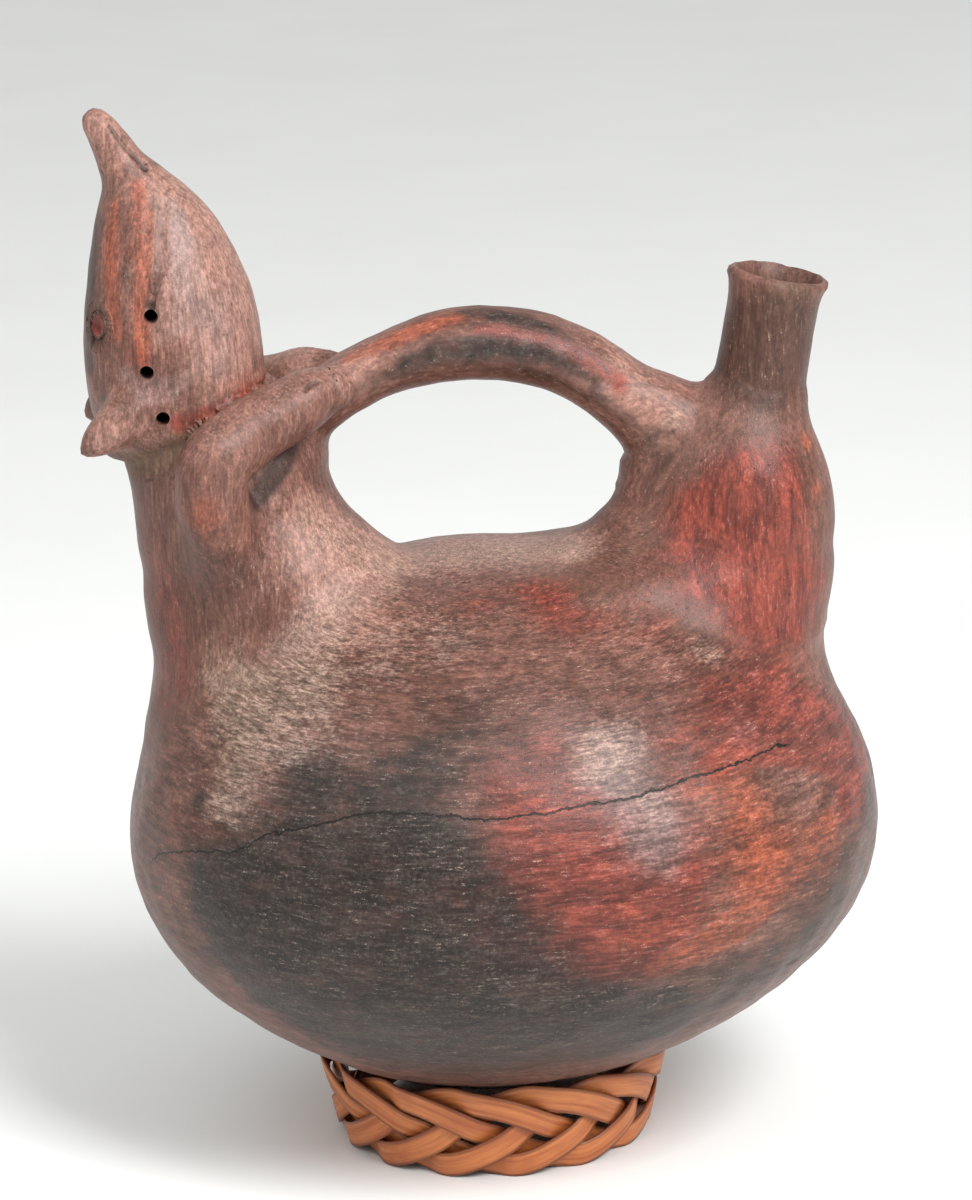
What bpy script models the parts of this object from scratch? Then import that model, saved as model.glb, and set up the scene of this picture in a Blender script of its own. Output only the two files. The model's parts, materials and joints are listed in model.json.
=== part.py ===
"""A whistling vessel of burnished clay on a plaited cane ring.

The vessel is one hollow piece. Its rounded body carries, at the -X end, the torso and thrown-back head of an
animal whose arms hold an arched handle, and at the +X end a gourd-shaped chamber with a short leaning spout.
Lengths are in metres, +Z is up, and the XZ plane is the plane of symmetry of the vessel.
"""

import math

import bmesh
import bpy
from mathutils import Matrix, Vector

# Body: an egg in plan, longer towards the spout. A taper of 1 is a round underside, and more is a pointed one
BODY_LEFT = 0.0898
BODY_RIGHT = 0.0994
BODY_DEPTH = 0.1720
BODY_BELOW = 0.0677
BODY_ABOVE = 0.0722
BODY_TAPER = 1.35
WALL = 0.0050

# Figure: torso, head and snout, from the top of the body to the tip of the snout
FIGURE_HEIGHT = 0.1133
FIGURE_INSET = 0.0300
TORSO_WIDTH = 0.0490
TORSO_DEPTH = 0.0460
HEAD_WIDTH = 0.0440
HEAD_DEPTH = 0.0420
ARM_DIAMETER = 0.0166
EAR_DIAMETER = 0.0130
EYE_DIAMETER = 0.0106
SOUND_HOLE = 0.0036
MOUTH_SLIT = 0.0010
MOUTH_DEPTH = 0.0020

# Handle and spout
HANDLE_RISE = 0.0522
HANDLE_THICKNESS = 0.0184
HANDLE_WIDTH = 0.0200
CHAMBER_INSET = 0.0312
CHAMBER_HEIGHT = 0.0370
CHAMBER_DIAMETER = 0.0448
SPOUT_LENGTH = 0.0300
SPOUT_DIAMETER = 0.0228
SPOUT_LEAN = math.radians(11.4)
SPOUT_BORE = 0.0165
LIP_DIAMETER = 0.0254
LIP_HEIGHT = 0.0032
MOUTH_DIAMETER = 0.0213
MOUTH_FLARE = 0.0090

# Plaited ring: one flat strip that goes round LEADS times and turns BIGHTS times at each edge
RING_HEIGHT = 0.0225
RING_FOOT_RADIUS = 0.0388
RING_FLARE = math.radians(12.9)
STRIP_WIDTH = 0.0059
STRIP_THICKNESS = 0.0008
WEAVE_DEPTH = 0.0015
WEAVE_SHARPNESS = 3
LEADS = 5
BIGHTS = 14
CLEARANCE = 0.0003

# Numbers of flats
BODY_SIDES = 34
BODY_RINGS = 18
HOLLOW_RINGS = 14
SIDES = 24
SLIM_SIDES = 14
SMALL_SIDES = 10
STEPS_PER_BIGHT = 20


def underside(x, y, level):
    """Height of the body's lower surface at a point in plan."""
    reach = BODY_RIGHT if x > 0 else BODY_LEFT
    share = math.hypot(x / reach, 2 * y / BODY_DEPTH)
    return level - BODY_BELOW * math.sqrt(max(1 - share ** (2 / BODY_TAPER), 0))


# The body's widest level: its underside sits just above the ring's upper edge
RING_TOP_RADIUS = RING_FOOT_RADIUS + (RING_HEIGHT - STRIP_WIDTH) * math.tan(RING_FLARE)
SEAT_RADIUS = RING_TOP_RADIUS - STRIP_THICKNESS / 2
LEVEL = RING_HEIGHT + CLEARANCE - underside(SEAT_RADIUS, 0, 0)
TOP = LEVEL + BODY_ABOVE
FIGURE_X = FIGURE_INSET - BODY_LEFT
CHAMBER_X = BODY_RIGHT - CHAMBER_INSET

# Sections of the torso and of the head, each as shares of the figure's height (sideways, up), a tilt in
# degrees, and shares of the piece's own width and depth
TORSO = [
    (0.124, -0.530, 0, 1.18, 1.26),
    (0.106, -0.362, 0, 1.35, 1.28),
    (0.102, -0.221, 0, 1.35, 1.26),
    (0.106, -0.079, 0, 1.47, 1.26),
    (0.084, -0.009, 0, 1.37, 1.22),
    (0.044, 0.053, 0, 1.19, 1.13),
    (0.011, 0.124, 0, 1.05, 1.04),
    (-0.004, 0.185, 0, 1.00, 1.00),
    (-0.011, 0.238, 0, 1.01, 0.93),
    (-0.040, 0.296, 8, 0.88, 0.85),
    (-0.079, 0.371, 12, 0.69, 0.74),
    (-0.093, 0.450, 12, 0.61, 0.67),
]
HEAD = [
    (-0.082, 0.300, 24, 0.795, 0.833),
    (-0.091, 0.320, 24, 0.950, 0.943),
    (-0.105, 0.397, 15, 1.005, 0.990),
    (-0.112, 0.485, 9, 1.000, 1.000),
    (-0.118, 0.574, 7, 0.950, 0.971),
    (-0.127, 0.662, 7, 0.836, 0.886),
    (-0.140, 0.741, 8, 0.686, 0.738),
    (-0.162, 0.809, 12, 0.500, 0.548),
    (-0.179, 0.853, 15, 0.350, 0.390),
    (-0.207, 0.898, 17, 0.250, 0.281),
    (-0.230, 0.948, 13, 0.214, 0.233),
    (-0.248, 0.982, 10, 0.168, 0.186),
    (-0.255, 1.001, 8, 0.100, 0.110),
    (-0.253, 1.008, 8, 0.045, 0.048),
]
HEAD_HOLLOW_SECTIONS = 8

# Sections of the chamber: shares of its height (sideways, up), a tilt, shares of its diameter
CHAMBER = [
    (-0.297, -1.486, 0, 1.16, 1.07),
    (-0.189, -0.919, 0, 1.03, 1.03),
    (-0.122, -0.541, -2, 1.00, 1.00),
    (-0.054, -0.135, -4, 1.00, 1.03),
    (-0.014, 0.216, -6, 1.00, 1.03),
    (0.014, 0.514, -8, 0.91, 0.94),
    (0.041, 0.730, -10, 0.75, 0.78),
    (0.068, 0.919, -11.4, 0.57, 0.58),
    (0.084, 1.000, -11.4, 0.50, 0.50),
]

# The clay that spreads from the handle's root down to the body, left of the chamber: shares as above
CHAMBER_FOOT = [
    (-0.486, -0.514, 0, 1.61, 1.16),
    (-0.595, -0.297, 0, 1.92, 1.27),
    (-0.649, -0.108, 0, 1.96, 1.23),
    (-0.514, -0.014, 0, 1.58, 1.05),
    (-0.432, 0.081, 0, 1.25, 0.87),
    (-0.378, 0.216, 0, 1.03, 0.69),
    (-0.378, 0.351, 0, 0.80, 0.54),
]

# Sections of the handle: share of the span from figure to chamber, share of the rise, shares of its
# thickness and width
HANDLE = [
    (0.016, 0.441, 1.20, 1.10),
    (0.102, 0.613, 1.14, 1.05),
    (0.195, 0.785, 0.84, 0.95),
    (0.318, 0.927, 0.85, 0.95),
    (0.453, 0.998, 0.98, 1.00),
    (0.555, 0.981, 1.00, 1.00),
    (0.672, 0.879, 0.99, 1.00),
    (0.766, 0.715, 1.01, 1.00),
    (0.848, 0.536, 1.43, 1.05),
    (0.871, 0.326, 1.68, 1.15),
    (0.879, 0.153, 1.63, 1.15),
]

# Arms and ears: shares of the figure's height (sideways, out, up) and of their own diameter
ARM = [
    (0.018, 0.168, 0.026, 0.96),
    (-0.018, 0.199, 0.106, 1.00),
    (-0.044, 0.221, 0.194, 1.04),
    (-0.031, 0.221, 0.265, 1.04),
    (0.040, 0.172, 0.313, 0.99),
    (0.124, 0.110, 0.342, 0.94),
    (0.190, 0.079, 0.365, 0.87),
    (0.237, 0.069, 0.378, 0.64),
]
EAR = [
    (-0.159, 0.124, 0.388, 1.08),
    (-0.212, 0.153, 0.362, 0.98),
    (-0.265, 0.168, 0.327, 0.77),
    (-0.297, 0.175, 0.305, 0.49),
    (-0.314, 0.178, 0.295, 0.22),
]

# Sound holes, eyes and mouth: shares of the figure's height (sideways, up), and of the head's depth
SOUND_HOLES = [(-0.151, 0.585), (-0.166, 0.464), (-0.137, 0.365)]
SOUND_HOLE_REACH = 0.0060
EYE_HEIGHT = 0.552
EYE_ANGLE = math.radians(29)
EYE_SECTION = HEAD[4]
EYE_BAND_SIDES = 6
MOUTH_ENDS = [(-0.230, 0.976, 0.17), (-0.154, 0.880, 0.20)]


def clear_scene():
    for obj in list(bpy.data.objects):
        bpy.data.objects.remove(obj, do_unlink=True)


def material(name, colour, roughness):
    made = bpy.data.materials.new(name)
    made.use_nodes = True
    shader = made.node_tree.nodes["Principled BSDF"]
    shader.inputs["Base Color"].default_value = (*colour, 1)
    shader.inputs["Roughness"].default_value = roughness
    shader.inputs["Metallic"].default_value = 0
    made.diffuse_color = (*colour, 1)
    return made


def object_from(bm, name, collection=None):
    """A smooth-shaded object whose faces point out."""
    bmesh.ops.recalc_face_normals(bm, faces=bm.faces)
    mesh = bpy.data.meshes.new(name)
    bm.to_mesh(mesh)
    bm.free()
    mesh.shade_smooth()
    made = bpy.data.objects.new(name, mesh)
    (collection or bpy.context.scene.collection).objects.link(made)
    return made


def section(centre, across, out, half_width, half_depth, sides):
    """Corners of an ellipse about a centre, in the plane of two unit directions."""
    corners = []
    for i in range(sides):
        angle = 2 * math.pi * i / sides
        sideways = across * (half_width * math.cos(angle))
        corners.append(centre + sideways + out * (half_depth * math.sin(angle)))
    return corners


def loft(name, sections, collection):
    """A closed skin through sections of equally many corners."""
    bm = bmesh.new()
    loops = []
    for corners in sections:
        verts = [bm.verts.new(corner) for corner in corners]
        loops.append([bm.edges.new((a, b)) for a, b in zip(verts, verts[1:] + verts[:1])])
    for lower, upper in zip(loops, loops[1:]):
        bmesh.ops.bridge_loops(bm, edges=lower + upper)
    for loop in (loops[0], loops[-1]):
        bmesh.ops.contextual_create(bm, geom=loop)
    return object_from(bm, name, collection)


def upright_sections(knots, foot, unit, width, depth, inset=0):
    """Elliptical sections that stand on one another, from knots of (sideways, up, tilt, width, depth)."""
    rows = []
    for sideways, up, tilt, wide, deep in knots:
        turn = math.radians(tilt)
        centre = foot + Vector((sideways * unit, 0, up * unit))
        rows.append([centre, turn, wide * width / 2 - inset, deep * depth / 2 - inset])
    for row, shift in ((rows[0], inset), (rows[-1], -inset)):
        row[0] = row[0] + Vector((-math.sin(row[1]), 0, math.cos(row[1]))) * shift
    made = []
    for centre, turn, half_width, half_depth in rows:
        across = Vector((math.cos(turn), 0, math.sin(turn)))
        made.append(section(centre, across, Vector((0, 1, 0)), half_width, half_depth, SIDES))
    return made


def swept_sections(points, half_widths, half_depths, sides):
    """Sections square to a path. Half widths lie in the plane of the path and +Z, half depths beside it."""
    made = []
    for i, centre in enumerate(points):
        before = points[max(i - 1, 0)]
        after = points[min(i + 1, len(points) - 1)]
        along = (after - before).normalized()
        beside = along.cross(Vector((0, 0, 1))).normalized()
        made.append(section(centre, beside.cross(along), beside, half_widths[i], half_depths[i], sides))
    return made


def figure_point(sideways, out, up):
    return Vector((FIGURE_X, 0, TOP)) + Vector((sideways, out, up)) * FIGURE_HEIGHT


def add_body(name, inset, collection):
    """An egg: a sphere whose left, right, lower and upper halves are stretched to their own lengths."""
    bm = bmesh.new()
    sides = BODY_SIDES if inset == 0 else SIDES
    rings = BODY_RINGS if inset == 0 else HOLLOW_RINGS
    bmesh.ops.create_uvsphere(bm, u_segments=sides, v_segments=rings, radius=1)
    for vert in bm.verts:
        x, y, z = vert.co
        reach = BODY_RIGHT if x > 0 else BODY_LEFT
        rise = BODY_ABOVE if z > 0 else BODY_BELOW
        narrowing = math.hypot(x, y) ** (BODY_TAPER - 1) if z < 0 else 1
        half_length = (reach - inset) * narrowing
        half_depth = (BODY_DEPTH / 2 - inset) * narrowing
        vert.co = (x * half_length, y * half_depth, LEVEL + z * (rise - inset))
    return object_from(bm, name, collection)


def add_figure(outer, hollows):
    """Torso and head with the snout, and the hollow inside them."""
    foot = figure_point(0, 0, 0)
    torso = (TORSO, foot, FIGURE_HEIGHT, TORSO_WIDTH, TORSO_DEPTH)
    head = (HEAD, foot, FIGURE_HEIGHT, HEAD_WIDTH, HEAD_DEPTH)
    loft("torso", upright_sections(*torso), outer)
    loft("head", upright_sections(*head), outer)
    loft("torso_hollow", upright_sections(*torso, inset=WALL), hollows)
    hollow_head = (HEAD[:HEAD_HOLLOW_SECTIONS], *head[1:])
    loft("head_hollow", upright_sections(*hollow_head, inset=WALL), hollows)


def add_limb(name, knots, diameter, side, collection):
    """An arm or an ear on one side of the figure: side is -1 or 1."""
    points = [figure_point(sideways, side * out, up) for sideways, out, up, _ in knots]
    radii = [share * diameter / 2 for *_, share in knots]
    return loft(name, swept_sections(points, radii, radii, SLIM_SIDES), collection)


def add_eye(name, side, collection):
    """A raised ring round a low pupil, on the head's curve."""
    middle = figure_point(EYE_SECTION[0], 0, EYE_HEIGHT)
    facing = Vector((-math.cos(EYE_ANGLE), side * math.sin(EYE_ANGLE), 0))
    on_head = middle + Vector((facing.x * HEAD_WIDTH, facing.y * HEAD_DEPTH, 0)) / 2 * EYE_SECTION[3]
    turn = facing.to_track_quat("Z", "Y").to_matrix().to_4x4()
    band_radius = EYE_DIAMETER / 10
    ring_radius = EYE_DIAMETER / 2 - band_radius
    pupil_radius = EYE_DIAMETER * 0.22
    pupil_depth = EYE_DIAMETER * 0.08
    bm = bmesh.new()
    loops = []
    for i in range(SLIM_SIDES):
        angle = 2 * math.pi * i / SLIM_SIDES
        outward = Vector((math.cos(angle), math.sin(angle), 0))
        centre = outward * ring_radius
        corners = section(centre, outward, Vector((0, 0, 1)), band_radius, band_radius, EYE_BAND_SIDES)
        loops.append([bm.verts.new(corner) for corner in corners])
    for here, after in zip(loops, loops[1:] + loops[:1]):
        for j in range(EYE_BAND_SIDES):
            k = (j + 1) % EYE_BAND_SIDES
            bm.faces.new((here[j], after[j], after[k], here[k]))
    bmesh.ops.transform(bm, matrix=Matrix.Translation(on_head) @ turn, verts=bm.verts)
    object_from(bm, name + "_ring", collection)
    bm = bmesh.new()
    bmesh.ops.create_uvsphere(bm, u_segments=SMALL_SIDES, v_segments=SMALL_SIDES // 2, radius=pupil_radius)
    bmesh.ops.translate(bm, vec=on_head - facing * pupil_depth, verts=bm.verts)
    object_from(bm, name + "_pupil", collection)


def add_sound_holes(side, cutters):
    """Three round holes through the side of the head into its hollow."""
    length = HEAD_DEPTH / 2 + WALL - SOUND_HOLE_REACH
    radius = SOUND_HOLE / 2
    for i, (sideways, up) in enumerate(SOUND_HOLES):
        middle = figure_point(sideways, 0, up) + Vector((0, side * (SOUND_HOLE_REACH + length / 2), 0))
        bm = bmesh.new()
        bmesh.ops.create_cone(
            bm, cap_ends=True, segments=SMALL_SIDES, radius1=radius, radius2=radius, depth=length
        )
        turn = Matrix.Rotation(math.pi / 2, 4, "X")
        bmesh.ops.transform(bm, matrix=Matrix.Translation(middle) @ turn, verts=bm.verts)
        object_from(bm, f"sound_hole_{'near' if side < 0 else 'far'}_{i + 1}", cutters)


def add_mouth(side, cutters):
    """A slit cut into one side of the snout, deeper in by MOUTH_DEPTH than the skin at both of its ends."""
    ends = []
    for sideways, up, share in MOUTH_ENDS:
        skin = share * HEAD_DEPTH / 2
        ends.append(figure_point(sideways, 0, up) + Vector((0, side * (skin - MOUTH_DEPTH), 0)))
    along = (ends[1] - ends[0]).normalized()
    out = Vector((0, side, 0))
    across = along.cross(out).normalized() * MOUTH_SLIT / 2
    reach = out * HEAD_DEPTH / 4
    bm = bmesh.new()
    inner = [point + turn for point in ends for turn in (across, -across)]
    verts = [bm.verts.new(corner) for corner in inner + [point + reach for point in inner]]
    bmesh.ops.convex_hull(bm, input=verts)
    object_from(bm, f"mouth_{'near' if side < 0 else 'far'}", cutters)


def add_spout(outer, hollows):
    """Chamber, straight leaning tube and flared lip, with a bore that widens to the lip."""
    foot = Vector((CHAMBER_X, 0, TOP))
    chamber = (CHAMBER, foot, CHAMBER_HEIGHT, CHAMBER_DIAMETER, CHAMBER_DIAMETER)
    loft("chamber", upright_sections(*chamber), outer)
    loft("chamber_foot", upright_sections(CHAMBER_FOOT, *chamber[1:]), outer)
    loft("chamber_hollow", upright_sections(*chamber, inset=WALL), hollows)
    base = foot + Vector((CHAMBER[-1][0], 0, CHAMBER[-1][1])) * CHAMBER_HEIGHT
    up = Vector((math.sin(SPOUT_LEAN), 0, math.cos(SPOUT_LEAN)))
    across = Vector((math.cos(SPOUT_LEAN), 0, -math.sin(SPOUT_LEAN)))
    depth = Vector((0, 1, 0))
    tube = SPOUT_DIAMETER / 2
    lip = LIP_DIAMETER / 2
    edge = (lip - tube) / 2
    profile = [(-WALL, tube), (SPOUT_LENGTH - LIP_HEIGHT, tube)]
    profile += [(SPOUT_LENGTH - edge, lip), (SPOUT_LENGTH, lip - edge)]
    loft("spout", [section(base + up * h, across, depth, r, r, SIDES) for h, r in profile], outer)
    bore = SPOUT_BORE / 2
    mouth = MOUTH_DIAMETER / 2
    narrow = SPOUT_LENGTH - MOUTH_FLARE
    profile = [(-CHAMBER_HEIGHT / 2, bore), (narrow, bore)]
    profile += [(SPOUT_LENGTH, mouth), (SPOUT_LENGTH + WALL, mouth)]
    loft("spout_bore", [section(base + up * h, across, depth, r, r, SIDES) for h, r in profile], hollows)


def add_handle(outer):
    """A solid arch from the torso to the chamber's foot."""
    span = CHAMBER_X - FIGURE_X
    points = [Vector((FIGURE_X + u * span, 0, TOP + v * HANDLE_RISE)) for u, v, _, _ in HANDLE]
    half_widths = [thick * HANDLE_THICKNESS / 2 for _, _, thick, _ in HANDLE]
    half_depths = [wide * HANDLE_WIDTH / 2 for _, _, _, wide in HANDLE]
    loft("handle", swept_sections(points, half_widths, half_depths, SLIM_SIDES), outer)


def cut(target, collection, operation):
    change = target.modifiers.new(collection.name, "BOOLEAN")
    change.operation = operation
    change.operand_type = "COLLECTION"
    change.collection = collection
    change.solver = "EXACT"


def make_vessel(root, clay):
    """The body joined to every outer form, then emptied of every hollow form."""
    outer = bpy.data.collections.new("outer_forms")
    hollows = bpy.data.collections.new("hollow_forms")
    for collection in (outer, hollows):
        bpy.context.scene.collection.children.link(collection)
    vessel = add_body("whistling_vessel", 0, None)
    add_body("body_hollow", WALL, hollows)
    add_figure(outer, hollows)
    add_spout(outer, hollows)
    add_handle(outer)
    for side, word in ((-1, "near"), (1, "far")):
        add_limb(f"arm_{word}", ARM, ARM_DIAMETER, side, outer)
        add_limb(f"ear_{word}", EAR, EAR_DIAMETER, side, outer)
        add_eye(f"eye_{word}", side, outer)
        add_sound_holes(side, hollows)
        add_mouth(side, hollows)
    for helper in [*outer.objects, *hollows.objects]:
        helper.hide_render = True
        helper.display_type = "WIRE"
        helper.parent = root
    cut(vessel, outer, "UNION")
    cut(vessel, hollows, "DIFFERENCE")
    vessel.data.materials.append(clay)
    vessel.parent = root
    return vessel


def ring_top(angle):
    """Height of the ring's upper edge, which follows the underside of the body."""
    x = SEAT_RADIUS * math.cos(angle)
    y = SEAT_RADIUS * math.sin(angle)
    return underside(x, y, LEVEL) - CLEARANCE


def strip_section(phase):
    """Corners of the flat strip where its wave has run through the given phase.

    The strip rises and falls as a cosine and goes outside its neighbours and inside them by turns: two over,
    two under, between one edge of the ring and the other. It lies flat on the ring's cone.
    """
    angle = phase * LEADS / BIGHTS
    outward = Vector((math.cos(angle), math.sin(angle), 0))
    round_ring = Vector((-math.sin(angle), math.cos(angle), 0))
    up_cone = Vector((0, 0, math.cos(RING_FLARE))) + outward * math.sin(RING_FLARE)
    square = round_ring.cross(up_cone)
    lowest = (STRIP_WIDTH * math.cos(RING_FLARE) + STRIP_THICKNESS * math.sin(RING_FLARE)) / 2
    rise = ring_top(angle) - 2 * lowest
    share = (1 + math.cos(phase)) / 2
    radius = RING_FOOT_RADIUS + math.tan(RING_FLARE) * rise * share
    slope = -rise / 2 * math.sin(phase) * BIGHTS / LEADS / radius
    pitch = math.atan(slope)
    across = up_cone * math.cos(pitch) - round_ring * math.sin(pitch)
    wave = WEAVE_DEPTH * max(-1, min(1, WEAVE_SHARPNESS * math.sin(2 * phase)))
    centre = outward * radius + square * wave + Vector((0, 0, lowest + rise * share))
    half = across * STRIP_WIDTH / 2
    thick = square * STRIP_THICKNESS / 2
    return [centre - half - thick, centre - half + thick, centre + half + thick, centre + half - thick]


def make_ring(root, cane):
    """The strip carried round until it meets its own start."""
    bm = bmesh.new()
    count = BIGHTS * STEPS_PER_BIGHT
    rows = []
    for i in range(count):
        phase = 2 * math.pi * i / STEPS_PER_BIGHT
        rows.append([bm.verts.new(corner) for corner in strip_section(phase)])
    for here, after in zip(rows, rows[1:] + rows[:1]):
        for j in range(4):
            bm.faces.new((here[j], after[j], after[(j + 1) % 4], here[(j + 1) % 4]))
    ring = object_from(bm, "braided_cane_ring")
    ring.data.materials.append(cane)
    ring.parent = root
    return ring


def main():
    clear_scene()
    root = bpy.data.objects.new("vessel_and_ring", None)
    bpy.context.scene.collection.objects.link(root)
    vessel = make_vessel(root, material("burnished clay", (0.30, 0.095, 0.065), 0.42))
    make_ring(root, material("cane", (0.42, 0.17, 0.055), 0.5))
    # The middle of the vessel's length goes over the origin
    bpy.context.view_layer.update()
    ends = [corner[0] for corner in vessel.evaluated_get(bpy.context.evaluated_depsgraph_get()).bound_box]
    root.location.x = -(min(ends) + max(ends)) / 2


main()
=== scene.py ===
import json
import math

import bmesh
import bpy
import numpy as np
from mathutils import Matrix, Vector

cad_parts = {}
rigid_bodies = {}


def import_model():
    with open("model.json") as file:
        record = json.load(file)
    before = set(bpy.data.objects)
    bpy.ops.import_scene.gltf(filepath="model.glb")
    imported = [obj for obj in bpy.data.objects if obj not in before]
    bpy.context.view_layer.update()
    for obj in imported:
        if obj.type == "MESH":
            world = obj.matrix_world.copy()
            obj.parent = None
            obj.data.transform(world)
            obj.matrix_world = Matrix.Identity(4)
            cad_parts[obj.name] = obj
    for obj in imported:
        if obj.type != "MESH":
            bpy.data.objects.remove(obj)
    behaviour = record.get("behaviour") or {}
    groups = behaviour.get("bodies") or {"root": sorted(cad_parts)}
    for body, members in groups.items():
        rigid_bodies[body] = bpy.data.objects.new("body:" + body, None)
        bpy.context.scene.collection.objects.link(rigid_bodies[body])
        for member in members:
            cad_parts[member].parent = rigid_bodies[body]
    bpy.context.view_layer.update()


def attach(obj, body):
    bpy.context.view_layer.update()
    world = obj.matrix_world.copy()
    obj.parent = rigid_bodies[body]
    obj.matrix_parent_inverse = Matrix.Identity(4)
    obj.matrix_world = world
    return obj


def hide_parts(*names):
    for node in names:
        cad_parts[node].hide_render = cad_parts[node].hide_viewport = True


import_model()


# shared helpers. Shapes are worked out in millimetres and written in metres


def smoothRows(knots, placeColumns, count):
    # row(t) = cubic between knots, each knot's slope taken from its two neighbours, t = way along the path
    knots = np.array(knots, float)
    gaps = np.linalg.norm(np.diff(knots[:, :placeColumns], axis=0), axis=1)
    at = np.concatenate(([0], np.cumsum(gaps)))
    slope = np.gradient(knots, at, axis=0)
    t = np.linspace(0, at[-1], count)
    i = np.clip(np.searchsorted(at, t, side="right") - 1, 0, len(at) - 2)
    h = (at[i + 1] - at[i])[:, None]
    s = (t - at[i])[:, None] / h
    start = (1 + 2 * s) * (1 - s) ** 2 * knots[i] + s * (1 - s) ** 2 * h * slope[i]
    end = s * s * (3 - 2 * s) * knots[i + 1] + s * s * (s - 1) * h * slope[i + 1]
    return start + end


def uprightRows(knots, count=70):
    # knots are x, z, tilt in degrees, half width, half depth
    rows = smoothRows(knots, 2, count)
    rows[:, 2] = np.radians(rows[:, 2])
    return rows


def archRows(knots, count=90):
    # knots are x, z, half thickness, half width. The tilt makes each section square to the path
    rows = smoothRows(knots, 2, count)
    tilt = np.unwrap(np.arctan2(-np.gradient(rows[:, 0]), np.gradient(rows[:, 1])))
    return np.column_stack([rows[:, 0], rows[:, 1], tilt, rows[:, 2], rows[:, 3]])


def shrunk(rows, wall):
    # the same loft with its skin moved in by the wall, and both ends too
    inner = rows.copy()
    inner[:, 3:] = np.maximum(inner[:, 3:] - wall, 1.0)
    for end, way in ((0, 1), (-1, -1)):
        inner[end, 0] -= way * wall * np.sin(inner[end, 2])
        inner[end, 1] += way * wall * np.cos(inner[end, 2])
    return inner


def loftGrid(rows, around):
    # point(s, angle) = centre(s) + across(s) * width(s) * cos(angle) + y * depth(s) * sin(angle)
    x, z, tilt, wide, deep = (column[:, None] for column in rows.T)
    angle = np.linspace(0, 2 * np.pi, around, endpoint=False)[None]
    out = wide * np.cos(angle)
    return np.stack([x + out * np.cos(tilt), deep * np.sin(angle), z + out * np.sin(tilt)], -1)


def rodGrid(rows, around):
    # point(s, angle) = centre(s) + radius(s) * (side(s) * cos(angle) + up(s) * sin(angle)), square to it
    centre, radius = rows[:, None, :3], rows[:, None, 3:4]
    along = np.gradient(rows[:, :3], axis=0)
    along /= np.linalg.norm(along, axis=1)[:, None]
    side = np.cross(along, (0.2, 1, 0.1))
    side /= np.linalg.norm(side, axis=1)[:, None]
    up = np.cross(along, side)
    angle = np.linspace(0, 2 * np.pi, around, endpoint=False)[None, :, None]
    return centre + radius * (side[:, None] * np.cos(angle) + up[:, None] * np.sin(angle))


def gridFaces(rows, around):
    # quads between neighbours on a grid that closes on itself round each row, and a polygon over each end
    i = np.arange(rows * around).reshape(rows, around)
    j = np.roll(i, -1, axis=1)
    faces = np.stack([i[:-1], j[:-1], j[1:], i[1:]], -1).reshape(-1, 4).tolist()
    return faces + [i[0, ::-1].tolist(), i[-1].tolist()]


def meshObject(name, points, faces, scale=0.001):
    # each point times the scale, which makes metres of millimetres
    mesh = bpy.data.meshes.new(name)
    mesh.from_pydata((np.asarray(points).reshape(-1, 3) * scale).tolist(), [], faces)
    mesh.validate()
    made = bpy.data.objects.new(name, mesh)
    bpy.context.scene.collection.objects.link(made)
    return made


def gridObject(name, grid):
    # a closed skin over a grid of rows
    return meshObject(name, grid, gridFaces(*grid.shape[:2]))


def applied(obj):
    # the mesh with its modifiers in it
    bpy.context.view_layer.update()
    seen = obj.evaluated_get(bpy.context.evaluated_depsgraph_get())
    mesh = bpy.data.meshes.new_from_object(seen)
    mesh.validate()
    obj.modifiers.clear()
    obj.data = mesh
    return mesh


def corners(mesh):
    # all the mesh's points as one array
    flat = np.empty(len(mesh.vertices) * 3, np.float32)
    mesh.vertices.foreach_get("co", flat)
    return flat.reshape(-1, 3).astype(float)


def writeAttribute(mesh, name, values):
    # one number or one vector for each point, for the materials to read
    kind, field = ("FLOAT_VECTOR", "vector") if values.ndim == 2 else ("FLOAT", "value")
    layer = mesh.attributes.new(name, kind, "POINT")
    layer.data.foreach_set(field, values.astype(np.float32).ravel())


def waves(p, size, seed, count=9):
    # wave(p) = mean of sines in random directions, each about size long, from -1 to 1
    picked = np.random.default_rng(seed)
    way = picked.normal(size=(count, 3))
    way *= (picked.uniform(0.7, 1.5, count) / np.linalg.norm(way, axis=1))[:, None] * 2 * np.pi / size
    turn = picked.uniform(0, 2 * np.pi, count)
    return np.sin(p @ way.T + turn).sum(1) / math.sqrt(count)


# distance fields of the clay forms, negative inside, all in millimetres


def within(p, path, reach):
    # which points lie in the box round a path, made larger by the reach
    return np.all((p > path.min(0) - reach) & (p < path.max(0) + reach), axis=1)


def loftField(p, rows, reach=22):
    # the loft's own field near it, and 60 mm for all points farther off
    far, at = np.full(len(p), 60.0), np.zeros(len(p))
    path = np.column_stack([rows[:, 0], 0 * rows[:, 0], rows[:, 1]])
    close = within(p, path, rows[:, 3:].max() + reach)
    if close.any():
        far[close], at[close] = sectionField(p[close], rows)
    return far, at


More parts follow.
